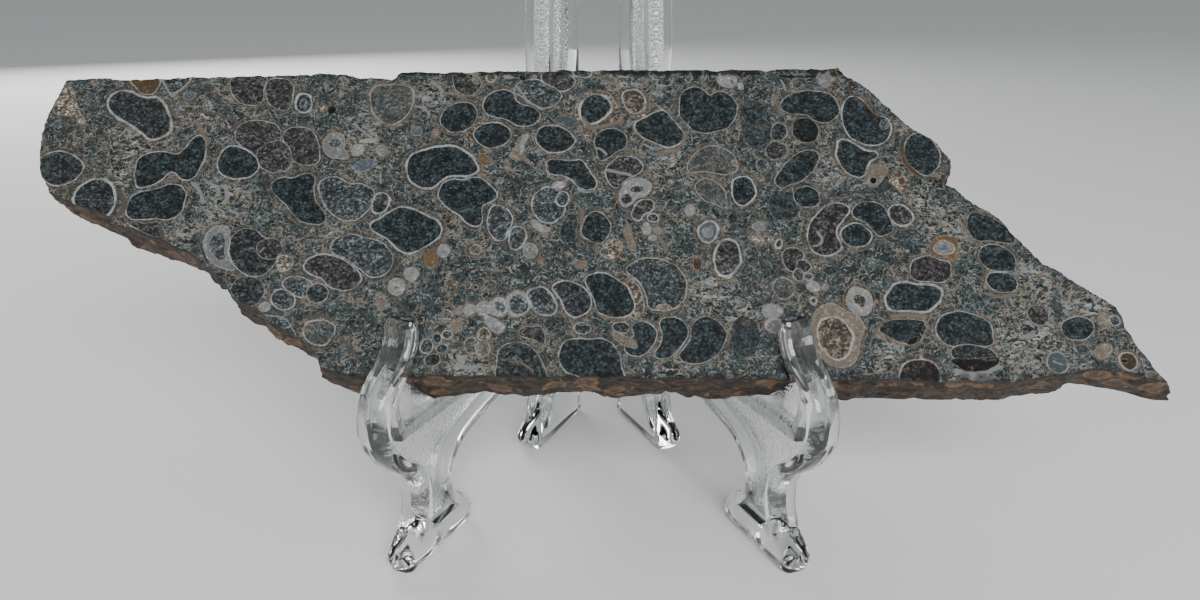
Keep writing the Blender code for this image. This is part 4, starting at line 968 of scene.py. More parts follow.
def even_cuts(low, high, step):
    """Places a step apart from low to high, neither end among them."""
    count = int((high - low) / step)
    return [low + (k + 0.5) * step for k in range(count)]


def new_piece(name, shape, materials):
    """A mesh object in the scene whose mesh is that shape."""
    mesh = bpy.data.meshes.new(name)
    shape.to_mesh(mesh)
    shape.free()
    for made in materials:
        mesh.materials.append(made)
    piece = bpy.data.objects.new(name, mesh)
    bpy.context.scene.collection.objects.link(piece)
    return piece


# Shading


class Wire:
    """A value or colour on its way through a material's nodes; sums on a value add Math nodes."""

    def __init__(self, shading, socket):
        self.shading = shading
        self.socket = socket

    def sum(self, operation, *values):
        return self.shading.node("ShaderNodeMath", {"operation": operation}, dict(enumerate(values)))

    def __add__(self, other):
        return self.sum("ADD", self, other)

    def __sub__(self, other):
        return self.sum("SUBTRACT", self, other)

    def __rsub__(self, other):
        return self.sum("SUBTRACT", other, self)

    def __mul__(self, other):
        return self.sum("MULTIPLY", self, other)

    def __abs__(self):
        return self.sum("ABSOLUTE", self)

    __radd__ = __add__
    __rmul__ = __mul__


class Shading:
    """A material's nodes."""

    def __init__(self, name):
        self.material = bpy.data.materials.new(name)
        self.material.use_nodes = True
        self.tree = self.material.node_tree
        self.shader = self.tree.nodes["Principled BSDF"]

    def node(self, kind, settings, sockets, output=0):
        made = self.tree.nodes.new(kind)
        for name, value in settings.items():
            setattr(made, name, value)
        for name, value in sockets.items():
            self.feed(made.inputs[name], value)
        return Wire(self, made.outputs[output])

    def feed(self, socket, value):
        if isinstance(value, Wire):
            self.tree.links.new(value.socket, socket)
        else:
            socket.default_value = value

    def value(self, name):
        return self.node("ShaderNodeAttribute", {"attribute_name": name}, {}, "Fac")

    def color(self, name):
        return self.node("ShaderNodeAttribute", {"attribute_name": name}, {}, "Color")

    def parts(self, name):
        """The three numbers kept in one attribute."""
        made = self.node("ShaderNodeSeparateXYZ", {}, {"Vector": self.color(name)}, "X")
        return [Wire(self, socket) for socket in made.socket.node.outputs]

    def step(self, value, low, high):
        """From 0 where the value is low to 1 where it is high."""
        settings = {"interpolation_type": "SMOOTHSTEP"}
        return self.node(
            "ShaderNodeMapRange", settings, {"Value": value, "From Min": low, "From Max": high}, "Result"
        )

    def blend(self, under, over, share):
        first, second = (c if isinstance(c, Wire) else (*c, 1.0) for c in (under, over))
        return self.node("ShaderNodeMix", {"data_type": "RGBA"}, {0: share, 6: first, 7: second}, 2)

    def shade(self, color, share):
        """The color made lighter or darker by a number."""
        grey = self.node("ShaderNodeCombineColor", {}, {"Red": share, "Green": share, "Blue": share})
        settings = {"data_type": "RGBA", "blend_type": "MULTIPLY"}
        first = color if isinstance(color, Wire) else (*color, 1.0)
        return self.node("ShaderNodeMix", settings, {0: 1.0, 6: first, 7: grey}, 2)

    def stone_place(self, stretch=(1.0, 1.0, 1.0)):
        """Millimetres along the stone's own axes."""
        inverse = STONE_PLACE.inverted()
        place = self.node("ShaderNodeTexCoord", {}, {}, "Object")
        turned = self.node("ShaderNodeMapping", {}, {
            "Vector": place, "Location": inverse.translation / MM,
            "Rotation": inverse.to_euler(), "Scale": (1.0 / MM,) * 3,
        })
        return self.node("ShaderNodeVectorMath", {"operation": "MULTIPLY"}, {0: turned, 1: stretch})

    def noise(self, place, size, detail=2.0, output="Fac"):
        sockets = {"Vector": place, "Scale": 1.0 / size, "Detail": detail}
        return self.node("ShaderNodeTexNoise", {}, sockets, output)

    def cells(self, place, size, feature="F1", output="Distance"):
        sockets = {"Vector": place, "Scale": 1.0 / size}
        return self.node("ShaderNodeTexVoronoi", {"feature": feature}, sockets, output)

    def stirred(self, place, size, reach):
        """The place pushed about by up to half the reach."""
        push = self.noise(place, size, 2.0, "Color")
        settings = {"operation": "MULTIPLY_ADD"}
        sockets = {0: push, 1: (reach,) * 3, 2: place}
        return self.node("ShaderNodeVectorMath", settings, sockets)

    def bump(self, height, strength, depth):
        sockets = {"Height": height, "Strength": strength, "Distance": depth}
        made = self.node("ShaderNodeBump", {}, sockets, "Normal")
        self.feed(self.shader.inputs["Normal"], made)


# The stone


POLISHED, RIND, SAWN = range(3)


def stone_shape():
    """The slice as built, in its own axes, with one whole polished face and one whole back."""
    shape = bmesh.new()
    shape.from_mesh(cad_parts["slab"].data)
    bmesh.ops.remove_doubles(shape, verts=shape.verts, dist=SAME_PLACE)
    shape.transform(STONE_PLACE.inverted())
    for depth, number in ((0.0, POLISHED), (-SLICE_THICKNESS, SAWN)):
        sheet = [f for f in shape.faces if all(abs(v.co.z - depth) < FLAT for v in f.verts)]
        whole = bmesh.ops.dissolve_faces(shape, faces=sheet)["region"]
        for face in whole:
            face.material_index = number
    for face in shape.faces:
        flat = all(abs(v.co.z) < FLAT for v in face.verts)
        sawn = all(abs(v.co.z + SLICE_THICKNESS) < FLAT for v in face.verts)
        face.material_index = POLISHED if flat else SAWN if sawn else RIND
    return shape


def faces_of(shape, number):
    return [f for f in shape.faces if f.material_index == number]


def refine_stone(shape, sizes):
    """Cuts the slice's faces into a fine net."""
    low = Vector([min(v.co[k] for v in shape.verts) for k in range(3)])
    high = Vector([max(v.co[k] for v in shape.verts) for k in range(3)])
    for axis in (0, 1):
        fine = even_cuts(low[axis], high[axis], sizes.grid)
        coarse = even_cuts(low[axis], high[axis], sizes.back_grid)
        slice_faces(shape, faces_of(shape, POLISHED) + faces_of(shape, RIND), axis, fine)
        slice_faces(shape, faces_of(shape, SAWN), axis, coarse)
    rows = even_cuts(-SLICE_THICKNESS, 0.0, sizes.rind_grid)
    slice_faces(shape, faces_of(shape, RIND), 2, rows)


def roughen_rind(shape, sizes):
    """Moves the broken edge's points out and in, as crags, and chips the polished edge."""
    shape.normal_update()
    for vert in shape.verts:
        kinds = {f.material_index for f in vert.link_faces}
        if RIND not in kinds:
            continue
        out = Vector((vert.normal.x, vert.normal.y, 0.0))
        if out.length < FLAT:
            continue
        out.normalize()
        at = vert.co / MM
        if POLISHED in kinds:
            vert.co += out * (noise.noise(at / 1.1) - 0.3) * sizes.chip
            continue
        stretched = Vector((at.x, at.y, at.z * 2.2))
        crags = noise.noise(stretched / 3.0) + 0.6 * noise.noise(stretched / 1.2)
        fade = 0.0 if SAWN in kinds else min(1.0, -at.z / 1.2)
        vert.co += out * crags * sizes.crag * fade


# The stone's looks


def one_random(cell_color):
    """A number from 0 to 1 for each cell."""
    shading = cell_color.shading
    return shading.node("ShaderNodeSeparateColor", {}, {"Color": cell_color}, "Red")


def mud_color(shading, place, sizes):
    """Mudstone full of crushed shell: grains, fibres, flecks, splinters and thin curved shell edges."""
    cloud = shading.noise(place, 7.0, 4.0)
    tone = shading.blend(sizes.mud, sizes.brown_mud, shading.step(cloud + shading.value("brown"), 0.56, 0.80))
    swirled = shading.stirred(place, 2.6, 4.2)
    grain = shading.noise(swirled, 0.42, 4.0)
    depth = shading.step(shading.noise(place, 4.0, 3.0), 0.30, 0.70) * 0.45 + 0.55
    color = shading.shade(tone, (shading.step(grain, 0.32, 0.68) * 1.30 + 0.36) * depth)
    shards = shading.value("shards")
    fibre = abs(shading.noise(swirled, 1.5, 4.0) - 0.5)
    patchy = shading.step(shading.noise(place, 2.6, 2.0) + shards * 0.15, 0.40, 0.62)
    color = shading.blend(color, sizes.fleck, shading.step(fibre, 0.034, 0.006) * patchy * 0.85)
    hair = abs(shading.noise(shading.stirred(place, 3.6, 4.5), 2.4, 3.0) - 0.52)
    hair_patch = shading.step(shading.noise(place, 3.4, 2.0), 0.44, 0.60)
    color = shading.blend(color, sizes.shell_edge, shading.step(hair, 0.022, 0.006) * hair_patch * 0.9)
    gap = abs(shading.noise(shading.stirred(place, 2.6, 3.0), 2.0, 4.0) - 0.47)
    color = shading.blend(color, sizes.gloom, shading.step(gap, 0.024, 0.006) * 0.75)
    flecks = one_random(shading.cells(swirled, 0.36, "F1", "Color"))
    color = shading.blend(color, sizes.fleck, shading.step(flecks + shards * 0.05, 0.90, 0.98) * 0.65)
    tans = shading.step(flecks, 0.75, 0.79) * shading.step(flecks, 0.83, 0.79)
    color = shading.blend(color, sizes.tan_fleck, tans * 0.45)
    color = shading.blend(color, sizes.gloom, shading.step(flecks, 0.20, 0.06) * 0.7)
    curls = shading.stirred(place, 3.2, 5.0)
    edge = shading.cells(curls, 2.3, "DISTANCE_TO_EDGE")
    curl_patch = shading.step(shading.noise(place, 4.5, 1.0) + shards * 0.22, 0.50, 0.62)
    color = shading.blend(color, sizes.shell_edge, shading.step(edge, 0.07, 0.02) * curl_patch * 0.65)
    splinters = shading.stirred(shading.stone_place((0.75, 1.5, 1.0)), 1.6, 3.4)
    splinter = one_random(shading.cells(splinters, 0.85, "F1", "Color"))
    bright = shading.step(splinter, 0.84, 0.90) * shards
    color = shading.blend(color, sizes.splinter, bright * 0.62)
    return shading.blend(color, sizes.gloom, shading.step(splinter, 0.16, 0.10) * shards * 0.8)


def shell_color(shading, under, place, layer_count, sizes):
    """The shells cut open, drawn from the lowest layer to the highest."""
    ragged = (shading.noise(place, 0.5, 2.0) - 0.5) * 0.22
    halo = shading.value("halo") + ragged * 1.6
    wander = shading.noise(place, 2.2, 2.0)
    shell = shading.shade(sizes.halo, shading.noise(place, 0.6, 3.0) * 0.9 + 0.55)
    band = shading.step(halo, 0.14, -0.10) * shading.step(wander, 0.22, 0.48)
    rim = shading.step(abs(halo + 0.12), 0.22, 0.05) * shading.step(wander, 0.30, 0.60)
    color = shading.blend(under, shell, band * 0.30)
    color = shading.blend(color, sizes.halo_rim, rim * 0.50)
    crystals = one_random(shading.cells(shading.stirred(place, 0.7, 0.6), 0.40, "F1", "Color"))
    sparkle = crystals * crystals * crystals * 3.8 + shading.noise(place, 0.25, 2.0) * 1.0
    cloudy = shading.step(shading.noise(place, 2.2, 4.0), 0.32, 0.70) * 0.95 + 0.62
    silted = shading.step(shading.noise(place, 1.5, 6.0), 0.50, 0.72) * 0.50
    thick = shading.noise(place, 2.8, 3.0) * 1.3 - 0.02
    seen = shading.step(shading.noise(place, 3.3, 4.0), 0.30, 0.60) * 0.68 + 0.26
    for layer in range(layer_count):
        gap = shading.value(f"gap_{layer}") + ragged
        wall, white, cover = shading.parts(f"wall_{layer}")
        line = shading.blend(sizes.wall_tan, sizes.wall_white, white)
        line = shading.shade(line, shading.noise(place, 0.7, 3.0) * 1.5 + 0.25)
        inside = shading.step(gap, 0.08, -0.08)
        outer = shading.step(gap - wall * thick, 0.12, -0.12)
        inner_rim = shading.step(gap, -0.9, 0.0) * 0.10
        grains = shading.node("ShaderNodeAttribute", {"attribute_name": f"fill_{layer}"}, {}, "Alpha")
        bright = (sparkle * cloudy + inner_rim - 1.0) * grains + 1.0
        fill = shading.shade(shading.color(f"fill_{layer}"), bright)
        color = shading.blend(color, line, outer * seen * (1.0 - inside))
        color = shading.blend(color, fill, inside * cover * (1.0 - silted))
    streak = shading.value("streak") + ragged * 0.5
    return shading.blend(color, shading.color("streak_color"), shading.step(streak, 0.10, -0.06) * 0.85)


def polished_face(layer_count, sizes):
    shading = Shading("polished_mudstone")
    place = shading.stone_place()
    blots = shading.noise(place, 3.0, 3.0)
    color = shell_color(shading, mud_color(shading, place, sizes), place, layer_count, sizes)
    top_edge = shading.step(shading.value("height"), 69.3, 70.3) * shading.step(blots, 0.40, 0.50)
    color = shading.blend(color, sizes.gloom, top_edge * 0.85)
    low_edge = shading.step(shading.value("height"), 1.4, 0.2) * shading.step(blots, 0.62, 0.44)
    color = shading.blend(color, sizes.gloom, low_edge * 0.60)
    shading.feed(shading.shader.inputs["Base Color"], color)
    shading.shader.inputs["Specular IOR Level"].default_value = POLISH_GLINT
    gloss = shading.noise(place, 1.2, 3.0) * 0.16 + sizes.polish
    shading.feed(shading.shader.inputs["Roughness"], gloss)
    pits = shading.step(shading.noise(place, 0.7, 4.0), 0.66, 0.78)
    shading.bump(1.0 - pits, 0.25, 0.08 * MM)
    return shading.material


def sawn_face(layer_count, sizes):
    """The unpolished back: the same kind of shells, dulled, under curved saw marks."""
    shading = Shading("sawn_mudstone")
    place = shading.stone_place()
    color = shell_color(shading, mud_color(shading, place, sizes), place, layer_count, sizes)
    color = shading.blend(color, sizes.saw_dust, 0.50)
    arcs = shading.node("ShaderNodeTexWave", {"wave_type": "RINGS", "rings_direction": "Z"}, {
        "Vector": shading.node("ShaderNodeVectorMath", {"operation": "ADD"}, {0: place, 1: SAW_CENTER}),
        "Scale": 0.17, "Distortion": 1.2, "Detail": 2.0,
    }, "Fac")
    worn = arcs * shading.step(shading.noise(place, 14.0, 2.0), 0.35, 0.65)
    color = shading.shade(color, worn * 0.40 + 0.86)
    shading.feed(shading.shader.inputs["Base Color"], color)
    shading.shader.inputs["Roughness"].default_value = SAWN_ROUGHNESS
    shading.bump(worn + shading.noise(place, 0.5, 3.0) * 0.6, 0.8, 0.18 * MM)
    return shading.material


def broken_edge(sizes):
    """The weathered rind: slate above, rusty brown with cut shells below."""
    shading = Shading("broken_rind")
    place = shading.stone_place()
    lumps = shading.noise(shading.stone_place((1.0, 1.0, 2.4)), 3.4, 5.0)
    fine = shading.noise(place, 0.8, 4.0)
    slate = shading.blend(sizes.gloom, sizes.mud, shading.step(lumps, 0.35, 0.65))
    rust = shading.blend(sizes.dark_rust, sizes.rust, shading.step(lumps, 0.38, 0.62))
    rust = shading.blend(rust, sizes.light_rust, shading.step(shading.noise(place, 1.9, 3.0), 0.58, 0.72))
    under = shading.step(shading.value("underside") + (lumps - 0.5) * 0.9, 0.05, 0.45)
    color = shading.blend(slate, rust, under)
    rings = shading.stirred(shading.stone_place((0.45, 0.9, 0.55)), 2.0, 0.7)
    ring = shading.cells(rings, 2.6)
    cut = shading.step(ring, 0.50, 0.42) * (shading.step(ring, 0.22, 0.36) * 0.5 + 0.5)
    chosen = shading.step(one_random(shading.cells(rings, 2.6, "F1", "Color")), 0.55, 0.6)
    ring_tone = shading.blend(sizes.brown_mud, sizes.light_rust, under)
    color = shading.blend(color, ring_tone, cut * chosen * 0.85)
    color = shading.shade(color, shading.step(fine, 0.2, 0.8) * 0.9 + 0.5)
    near_polish = shading.step(shading.value("depth"), 0.9, 0.15)
    color = shading.blend(color, sizes.gloom, near_polish * 0.75)
    shading.feed(shading.shader.inputs["Base Color"], color)
    shading.shader.inputs["Roughness"].default_value = RIND_ROUGHNESS
    shading.bump(lumps * 0.7 + fine * 0.5 + ring * 0.25, 0.8, 0.7 * MM)
    return shading.material


# The stone's markings


def fill_color(name):
    """A fill's color, from its tint and how light it is."""
    tint, light = FILLS[name]
    return tuple(share * light for share in TINTS[tint])


def oval(middle_x, middle_y, width, height, turn):
    """Points around an oval turned by that many degrees."""
    points = []
    for k in range(OVAL_POINTS):
        angle = 2 * math.pi * k / OVAL_POINTS
        point = Vector((width / 2 * math.cos(angle), height / 2 * math.sin(angle)))
        point.rotate(Matrix.Rotation(math.radians(turn), 2))
        points.append((middle_x + point.x, middle_y + point.y))
    return points


def shell_line(outline):
    """A shell's outline as an array of places in millimetres, a short step apart."""
    points = oval(*outline) if isinstance(outline, tuple) else outline
    return np.array([tuple(place / MM) for place in smooth_line(points, SHELL_STEP)])


def gaps_to(places, line, closed):
    """How far each place is from the line, less than nothing inside a closed one."""
    starts, ends = (line, np.roll(line, -1, axis=0)) if closed else (line[:-1], line[1:])
    nearest = np.full(len(places), np.inf)
    inside = np.zeros(len(places), dtype=bool)
    for start, end in zip(starts, ends):
        along = end - start
        from_start = places - start
        share = np.clip(from_start @ along / (along @ along), 0.0, 1.0)
        off = from_start - share[:, None] * along
        nearest = np.minimum(nearest, (off * off).sum(axis=1))
        if closed and start[1] != end[1]:
            level = (start[1] > places[:, 1]) != (end[1] > places[:, 1])
            inside ^= level & (from_start[:, 0] < from_start[:, 1] * along[0] / along[1])
    return np.where(inside, -1.0, 1.0) * np.sqrt(nearest)


def near(places, line, reach):
    """Which places lie within reach of the line's bounds."""
    low, high = line.min(axis=0) - reach, line.max(axis=0) + reach
    return np.nonzero(((places > low) & (places < high)).all(axis=1))[0]


def shell_layers(lines):
    """A layer for each shell, above every earlier shell that it touches."""
    layers = []
    for i, line in enumerate(lines):
        room = SHELLS[i][1] + CLEAR_OF_WALL
        touched = [-1]
        for k in range(i):
            reach = room + SHELLS[k][1]
            if len(near(line, lines[k], reach)) and gaps_to(line, lines[k], True).min() < reach:
                touched.append(layers[k])
        layers.append(max(touched) + 1)
    return layers


def wavered(places):
    """The places moved a little, so that the given lines waver as grown ones do."""
    noise.seed_set(WAVER_SEED)
    moved = places.copy()
    for i, (x, y) in enumerate(places):
        push = noise.noise_vector((x / 2.6, y / 2.6, 0.0)) * 0.30 + noise.noise_vector((x, y, 3.0)) * 0.10
        moved[i] += push.x, push.y
    return moved


def mark(mesh, name, kind, key, values):
    """Keeps those values on the mesh's points for its materials to read."""
    made = mesh.attributes.new(name, kind, "POINT")
    made.data.foreach_set(key, np.ascontiguousarray(values, dtype=np.float32).ravel())


def mark_shells(mesh, places, faced):
    """Stores the shells, their halos and the streaks on the polished and sawn faces' points."""
    count = len(places)
    flat = wavered(places[faced])
    lines = [shell_line(shell[-1]) for shell in SHELLS]
    layers = shell_layers(lines)
    layer_count = max(layers) + 1
    gaps = np.full((layer_count, count), FAR)
    walls = np.zeros((layer_count, count, 3))
    fills = np.ones((layer_count, count, 4))
    halo = np.full(count, FAR)
    for (fill, wall, band, white, outline), line, layer in zip(SHELLS, lines, layers):
        close = near(flat, line, MARK_REACH)
        gap = gaps_to(flat[close], line, True)
        here = faced[close]
        if band:
            halo[here] = np.minimum(halo[here], gap - wall - band)
        nearer = gap < gaps[layer, here]
        chosen = here[nearer]
        gaps[layer, chosen] = gap[nearer]
        walls[layer, chosen] = wall, white, FAINT_COVERS.get(fill, FULL_COVER)
        fills[layer, chosen, :3] = fill_color(fill)
        fills[layer, chosen, 3] = EVEN_GRAIN if fill in EVEN else 1.0
    for layer in range(layer_count):
        mark(mesh, f"gap_{layer}", "FLOAT", "value", gaps[layer])
        mark(mesh, f"wall_{layer}", "FLOAT_VECTOR", "vector", walls[layer])
        mark(mesh, f"fill_{layer}", "FLOAT_COLOR", "color", fills[layer])
    mark(mesh, "halo", "FLOAT", "value", halo)
    streak = np.full(count, FAR)
    colors = np.ones((count, 4))
    for fill, width, points in STREAKS:
        line = np.array(points)
        close = near(flat, line, 1.5)
        gap = gaps_to(flat[close], line, False) - width / 2
        nearer = gap < streak[faced[close]]
        chosen = faced[close][nearer]
        streak[chosen] = gap[nearer]
        colors[chosen, :3] = fill_color(fill)
    mark(mesh, "streak", "FLOAT", "value", streak)
    mark(mesh, "streak_color", "FLOAT_COLOR", "color", colors)
    return layer_count


def mark_stone(piece):
    """Stores the stone's markings on its points, and says how many layers of shells there are."""
    mesh = piece.data
    count = len(mesh.vertices)
    to_stone = np.array(STONE_PLACE.inverted())
    world = np.empty(count * 3)
    mesh.vertices.foreach_get("co", world)
    stone = (world.reshape(-1, 3) @ to_stone[:3, :3].T + to_stone[:3, 3]) / MM
    normals = np.array([tuple(v.normal) for v in mesh.vertices]) @ to_stone[:3, :3].T
    depth = -stone[:, 2]
    back = depth > SLICE_THICKNESS / MM - 0.05
    faced = np.nonzero((depth < 0.05) | back)[0]
    places = stone[:, :2].copy()
    places[back] = places[back] * BACK_FLIP + BACK_SHIFT
    shards = np.zeros(count)
    for x, y, reach in SHARD_BEDS:
        off = np.hypot(places[:, 0] - x, places[:, 1] - y)
        shards = np.maximum(shards, np.clip(1.4 - off / reach, 0.0, 1.0))
    brown = np.clip((np.abs(stone[:, 0] - 2.0) - 78.0) / 30.0, 0.0, 1.0) * 0.16
    mark(mesh, "shards", "FLOAT", "value", shards)
    mark(mesh, "brown", "FLOAT", "value", brown)
    mark(mesh, "underside", "FLOAT", "value", -normals[:, 1])
    mark(mesh, "depth", "FLOAT", "value", depth)
    mark(mesh, "height", "FLOAT", "value", stone[:, 1])
    return mark_shells(mesh, places, faced)


def make_stone(sizes):
    shape = stone_shape()
    refine_stone(shape, sizes)
    roughen_rind(shape, sizes)
    bmesh.ops.triangulate(shape, faces=[f for f in shape.faces if len(f.verts) > 4])
    shape.transform(STONE_PLACE)
    lowest, highest = CAD_BOX
    for vert in shape.verts:
        vert.co.x = min(max(vert.co.x, lowest.x), highest.x)
    for face in shape.faces:
        face.smooth = face.material_index == RIND
    for edge in shape.edges:
        kinds = {f.material_index for f in edge.link_faces}
        edge.smooth = len(kinds) == 1
    piece = new_piece("fossil_slab", shape, [])
    layer_count = mark_stone(piece)
    for material in (polished_face(layer_count, sizes), broken_edge(sizes), sawn_face(layer_count, sizes)):
        piece.data.materials.append(material)
    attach(piece, "root")
    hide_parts("slab")
    return piece


# The easel


def flat_face(shape, line, x):
    """One face of that outline in the plane at x, with the line's own x along y, its corners numbered."""
    number = shape.verts.layers.int.get("number") or shape.verts.layers.int.new("number")
    corners = [shape.verts.new((x, p.x, p.y)) for p in line]
    for i, corner in enumerate(corners):
        corner[number] = i
    return shape.faces.new(corners)


def carry(shape, face, line, x):
    """Extrudes a numbered face onto that line in the plane at x, and returns its new end."""
    number = shape.verts.layers.int["number"]
    grown = bmesh.ops.extrude_face_region(shape, geom=[face])["geom"]
    shape.faces.remove(face)
    end = next(g for g in grown if isinstance(g, bmesh.types.BMFace))
    for corner in end.verts:
        place = line[corner[number]]
        corner.co = (x, place.x, place.y)
    return end


def moved_in(line, distances):
    """The line moved in, each point by its own distance."""
    return [place - outward_at(line, i) * distances[i] for i, place in enumerate(line)]


def half_frame(outline, sizes):
    """The half of a frame on one side of its middle plane, open at that plane."""
    shape = bmesh.new()
    number = shape.verts.layers.int.new("number")
    half = PLATE_THICKNESS / 2
    turns = [math.pi / 2 * (k + 1) / sizes.round_steps for k in range(sizes.round_steps)]
    top = flat_face(shape, outline, 0.0)
    top = carry(shape, top, outline, half - sizes.rim_round)
    kept = panel_line(outline)
    panel_edge = [place for i, place in kept]
    rounds = [min(sizes.rim_round, min((p - q).length for q in panel_edge) * 0.8) for p in outline]
    for turn in turns:
        inner = moved_in(outline, [r * (1 - math.cos(turn)) for r in rounds])
        top = carry(shape, top, inner, half - sizes.rim_round * (1 - math.sin(turn)))
    rim = {corner[number]: corner for corner in top.verts}
    shape.faces.remove(top)
    panel = flat_face(shape, panel_edge, half)
    inner = {corner[number]: corner for corner in panel.verts}
    for k, (i, place) in enumerate(kept):
        after = (k + 1) % len(kept)
        last = kept[after][0]
        stretch = range(i, last + 1 if last > i else last + len(outline) + 1)
        shape.faces.new([*(rim[j % len(outline)] for j in stretch), inner[after], inner[k]])
    for turn in turns:
        narrower = moved_in(panel_edge, [sizes.panel_round * math.sin(turn)] * len(kept))
        panel = carry(shape, panel, narrower, half - sizes.panel_round * (1 - math.cos(turn)))
    narrower = moved_in(panel_edge, [sizes.panel_round + sizes.panel_draft] * len(kept))
    panel = carry(shape, panel, narrower, half - PANEL_DEPTH)
    panel.material_index = PEBBLED
    return shape


def prism(shape, corners, low, high):
    """An upright bar of that section, standing on the easel's own axes."""
    corner_verts = [shape.verts.new(EASEL_MIDDLE + Vector((x, y, low))) for x, y in corners]
    base = shape.faces.new(corner_verts)
    grown = bmesh.ops.extrude_face_region(shape, geom=[base])["geom"]
    lifted = [g for g in grown if isinstance(g, bmesh.types.BMVert)]
    bmesh.ops.translate(shape, verts=lifted, vec=(0, 0, high - low))


def slide_section(side):
    """The left frame's slotted socket or the right frame's key, seen from above."""
    root = FRONT_HALF_GAP - math.tan(SPREAD) * (SLIDE_BACK - SOCKET_DEPTH / 2) + LUG_OVERLAP
    middle = SLIDE_BACK - SOCKET_DEPTH / 2
    head_end = SOCKET_REACH - WALL_BEFORE_HEAD - FIT_GAP
    gap = FIT_GAP if side < 0 else 0.0
    start, end = head_end - HEAD_LENGTH - gap, head_end + gap
    head, neck = HEAD_WIDTH / 2 + gap, NECK_WIDTH / 2 + gap
    around = [(end, middle - neck), (end, middle - head), (start, middle - head),
              (start, middle + head), (end, middle + head), (end, middle + neck)]
    if side > 0:
        return [*around, (root, middle + neck), (root, middle - neck)]
    outer = SOCKET_DEPTH / 2
    return [(-root, middle - outer), (SOCKET_REACH, middle - outer), (SOCKET_REACH, middle - neck),
            *around, (SOCKET_REACH, middle + neck), (SOCKET_REACH, middle + outer),
            (-root, middle + outer)]


def clear_plastic(sizes, pebble):
    """The moulded plastic, either smooth or with a fine pebble finish."""
    shading = Shading("clear_plastic_pebbled" if pebble else "clear_plastic_smooth")
    shader = shading.shader.inputs
    shader["Base Color"].default_value = (*sizes.plastic, 1.0)
    shader["Transmission Weight"].default_value = 1.0
    shader["IOR"].default_value = PLASTIC_IOR
    shader["Roughness"].default_value = PEBBLE_ROUGHNESS if pebble else PLASTIC_ROUGHNESS
    if pebble:
        place = shading.node("ShaderNodeTexCoord", {}, {}, "Object")
        pebbles = shading.node(
            "ShaderNodeTexVoronoi", {"feature": "SMOOTH_F1"},
            {"Vector": place, "Scale": 1.0 / sizes.pebble, "Smoothness": 0.6}, "Distance",
        )
        shading.bump(1.0 - pebbles, 0.55, sizes.pebble * 0.25)
    absorbing = {"Color": (*sizes.plastic, 1.0), "Density": PLASTIC_DENSITY}
    depth = shading.node("ShaderNodeVolumeAbsorption", {}, absorbing, "Volume")
    shading.tree.links.new(depth.socket, shading.tree.nodes["Material Output"].inputs["Volume"])
    return shading.material


def make_frame(name, side, sizes):
    """One frame, placed at its side, -1 or 1."""
    outline = smooth_line(FRAME_OUTLINE, sizes.outline_step)
    shape = half_frame(outline, sizes)
    bmesh.ops.mirror(shape, geom=whole_geometry(shape.faces), axis="X", merge_dist=SAME_PLACE)
    bmesh.ops.remove_doubles(shape, verts=shape.verts, dist=SAME_PLACE)
    half = PLATE_THICKNESS / 2
    place = EASEL_MIDDLE + Vector((
        side * (FRONT_HALF_GAP + half * math.cos(SPREAD)), half * math.sin(SPREAD), 0.0
    ))
    shape.transform(Matrix.Translation(place) @ Matrix.Rotation(side * SPREAD, 4, "Z"))
    for bottom in SLIDE_BOTTOMS:
        prism(shape, slide_section(side), bottom, bottom + SLIDE_HEIGHT)
    bmesh.ops.triangulate(shape, faces=[f for f in shape.faces if len(f.verts) > 4])
    bmesh.ops.recalc_face_normals(shape, faces=shape.faces)
    for face in shape.faces:
        face.smooth = True
    piece = new_piece(f"{name}_clear", shape, [clear_plastic(sizes, pebble) for pebble in (False, True)])
    piece.data.set_sharp_from_angle(angle=math.radians(35.0))
    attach(piece, "root")
    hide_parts(name)
    return piece


# The stage


def make_stage(sizes):
    shape = bmesh.new()
    bmesh.ops.create_grid(shape, x_segments=2, y_segments=2, size=sizes.floor_size)
    paint = bpy.data.materials.new("floor_paper")
    paint.use_nodes = True
    shader = paint.node_tree.nodes["Principled BSDF"]
    shader.inputs["Base Color"].default_value = (*sizes.floor_color, 1.0)
    shader.inputs["Roughness"].default_value = FLOOR_ROUGHNESS
    floor = new_piece("floor", shape, [paint])
    scene = bpy.context.scene
    for name, power, place in (
        ("front_softbox", sizes.lamp_power, FRONT_LAMP_PLACE),
        ("back_softbox", sizes.back_power, BACK_LAMP_PLACE),
    ):
        lamp = bpy.data.lights.new(name, "AREA")
        lamp.shape = "RECTANGLE"
        lamp.size, lamp.size_y = LAMP_SIZE
        lamp.energy = power
        holder = bpy.data.objects.new(name, lamp)
        scene.collection.objects.link(holder)
        holder.location = place
        aim = LAMP_AIM - holder.location
        holder.rotation_euler = aim.to_track_quat("-Z", "Y").to_euler()
    world = bpy.data.worlds.new("studio")
    world.use_nodes = True
    world.node_tree.nodes["Background"].inputs["Color"].default_value = SKY_COLOR
    world.node_tree.nodes["Background"].inputs["Strength"].default_value = SKY_STRENGTH
    scene.world = world
    camera = bpy.data.cameras.new("camera")
    camera.lens = sizes.lens
    camera.sensor_width = SENSOR_WIDTH
    eye = bpy.data.objects.new("camera", camera)
    scene.collection.objects.link(eye)
    eye.location = EASEL_MIDDLE + EYE_PLACE * MM
    eye.rotation_euler = (math.radians(90.0 - LOOKING_DOWN), 0.0, 0.0)
    scene.camera = eye


# Operators


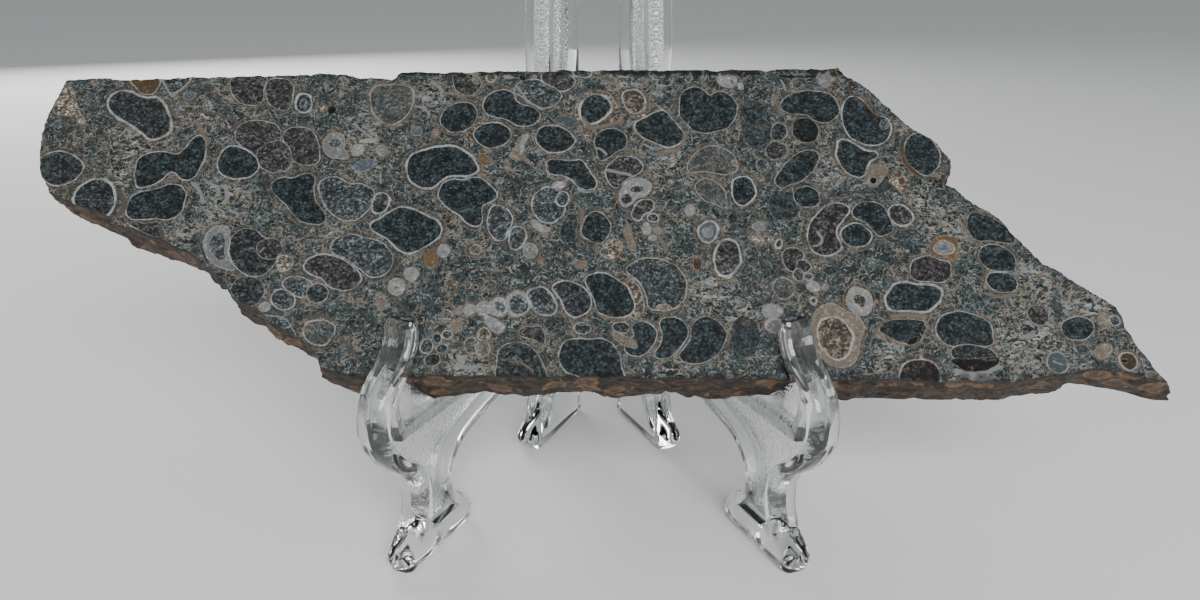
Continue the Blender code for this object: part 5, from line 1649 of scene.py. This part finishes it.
class FOSSIL_OT_make_stone(bpy.types.Operator):
    """Make the polished slice of fossil rock."""

    bl_idname = "fossil.make_stone"
    bl_label = "Make the stone"

    def execute(self, context):
        make_stone(context.scene.fossil_stone)
        return {"FINISHED"}


class FOSSIL_OT_make_easel(bpy.types.Operator):
    """Make the two clear frames of the easel."""

    bl_idname = "fossil.make_easel"
    bl_label = "Make the easel"

    def execute(self, context):
        for name, side in (("left_frame", -1), ("right_frame", 1)):
            make_frame(name, side, context.scene.fossil_easel)
        return {"FINISHED"}


class FOSSIL_OT_set_stage(bpy.types.Operator):
    """Set out the floor, the light and the camera."""

    bl_idname = "fossil.set_stage"
    bl_label = "Set the stage"

    def execute(self, context):
        make_stage(context.scene.fossil_stage)
        return {"FINISHED"}


class FOSSIL_PT_panel(bpy.types.Panel):
    """The makers and their settings, in the sidebar."""

    bl_idname = "FOSSIL_PT_panel"
    bl_label = "Turritella slab"
    bl_space_type = "VIEW_3D"
    bl_region_type = "UI"
    bl_category = "Fossil"

    def draw(self, context):
        for operator, settings in MAKERS:
            box = self.layout.box()
            box.operator(operator.bl_idname)
            group = getattr(context.scene, settings)
            for name in group.__annotations__:
                box.prop(group, name)


SETTINGS = (
    ("fossil_stone", StoneSettings),
    ("fossil_easel", EaselSettings),
    ("fossil_stage", StageSettings),
)
MAKERS = (
    (FOSSIL_OT_make_stone, "fossil_stone"),
    (FOSSIL_OT_make_easel, "fossil_easel"),
    (FOSSIL_OT_set_stage, "fossil_stage"),
)


def register():
    for name, group in SETTINGS:
        bpy.utils.register_class(group)
        setattr(bpy.types.Scene, name, bpy.props.PointerProperty(type=group))
    for operator, settings in MAKERS:
        bpy.utils.register_class(operator)
    bpy.utils.register_class(FOSSIL_PT_panel)


def unregister():
    bpy.utils.unregister_class(FOSSIL_PT_panel)
    for operator, settings in reversed(MAKERS):
        bpy.utils.unregister_class(operator)
    for name, group in reversed(SETTINGS):
        delattr(bpy.types.Scene, name)
        bpy.utils.unregister_class(group)


def main():
    register()
    bpy.ops.fossil.make_stone()
    bpy.ops.fossil.make_easel()
    bpy.ops.fossil.set_stage()


if __name__ == "__main__":
    main()
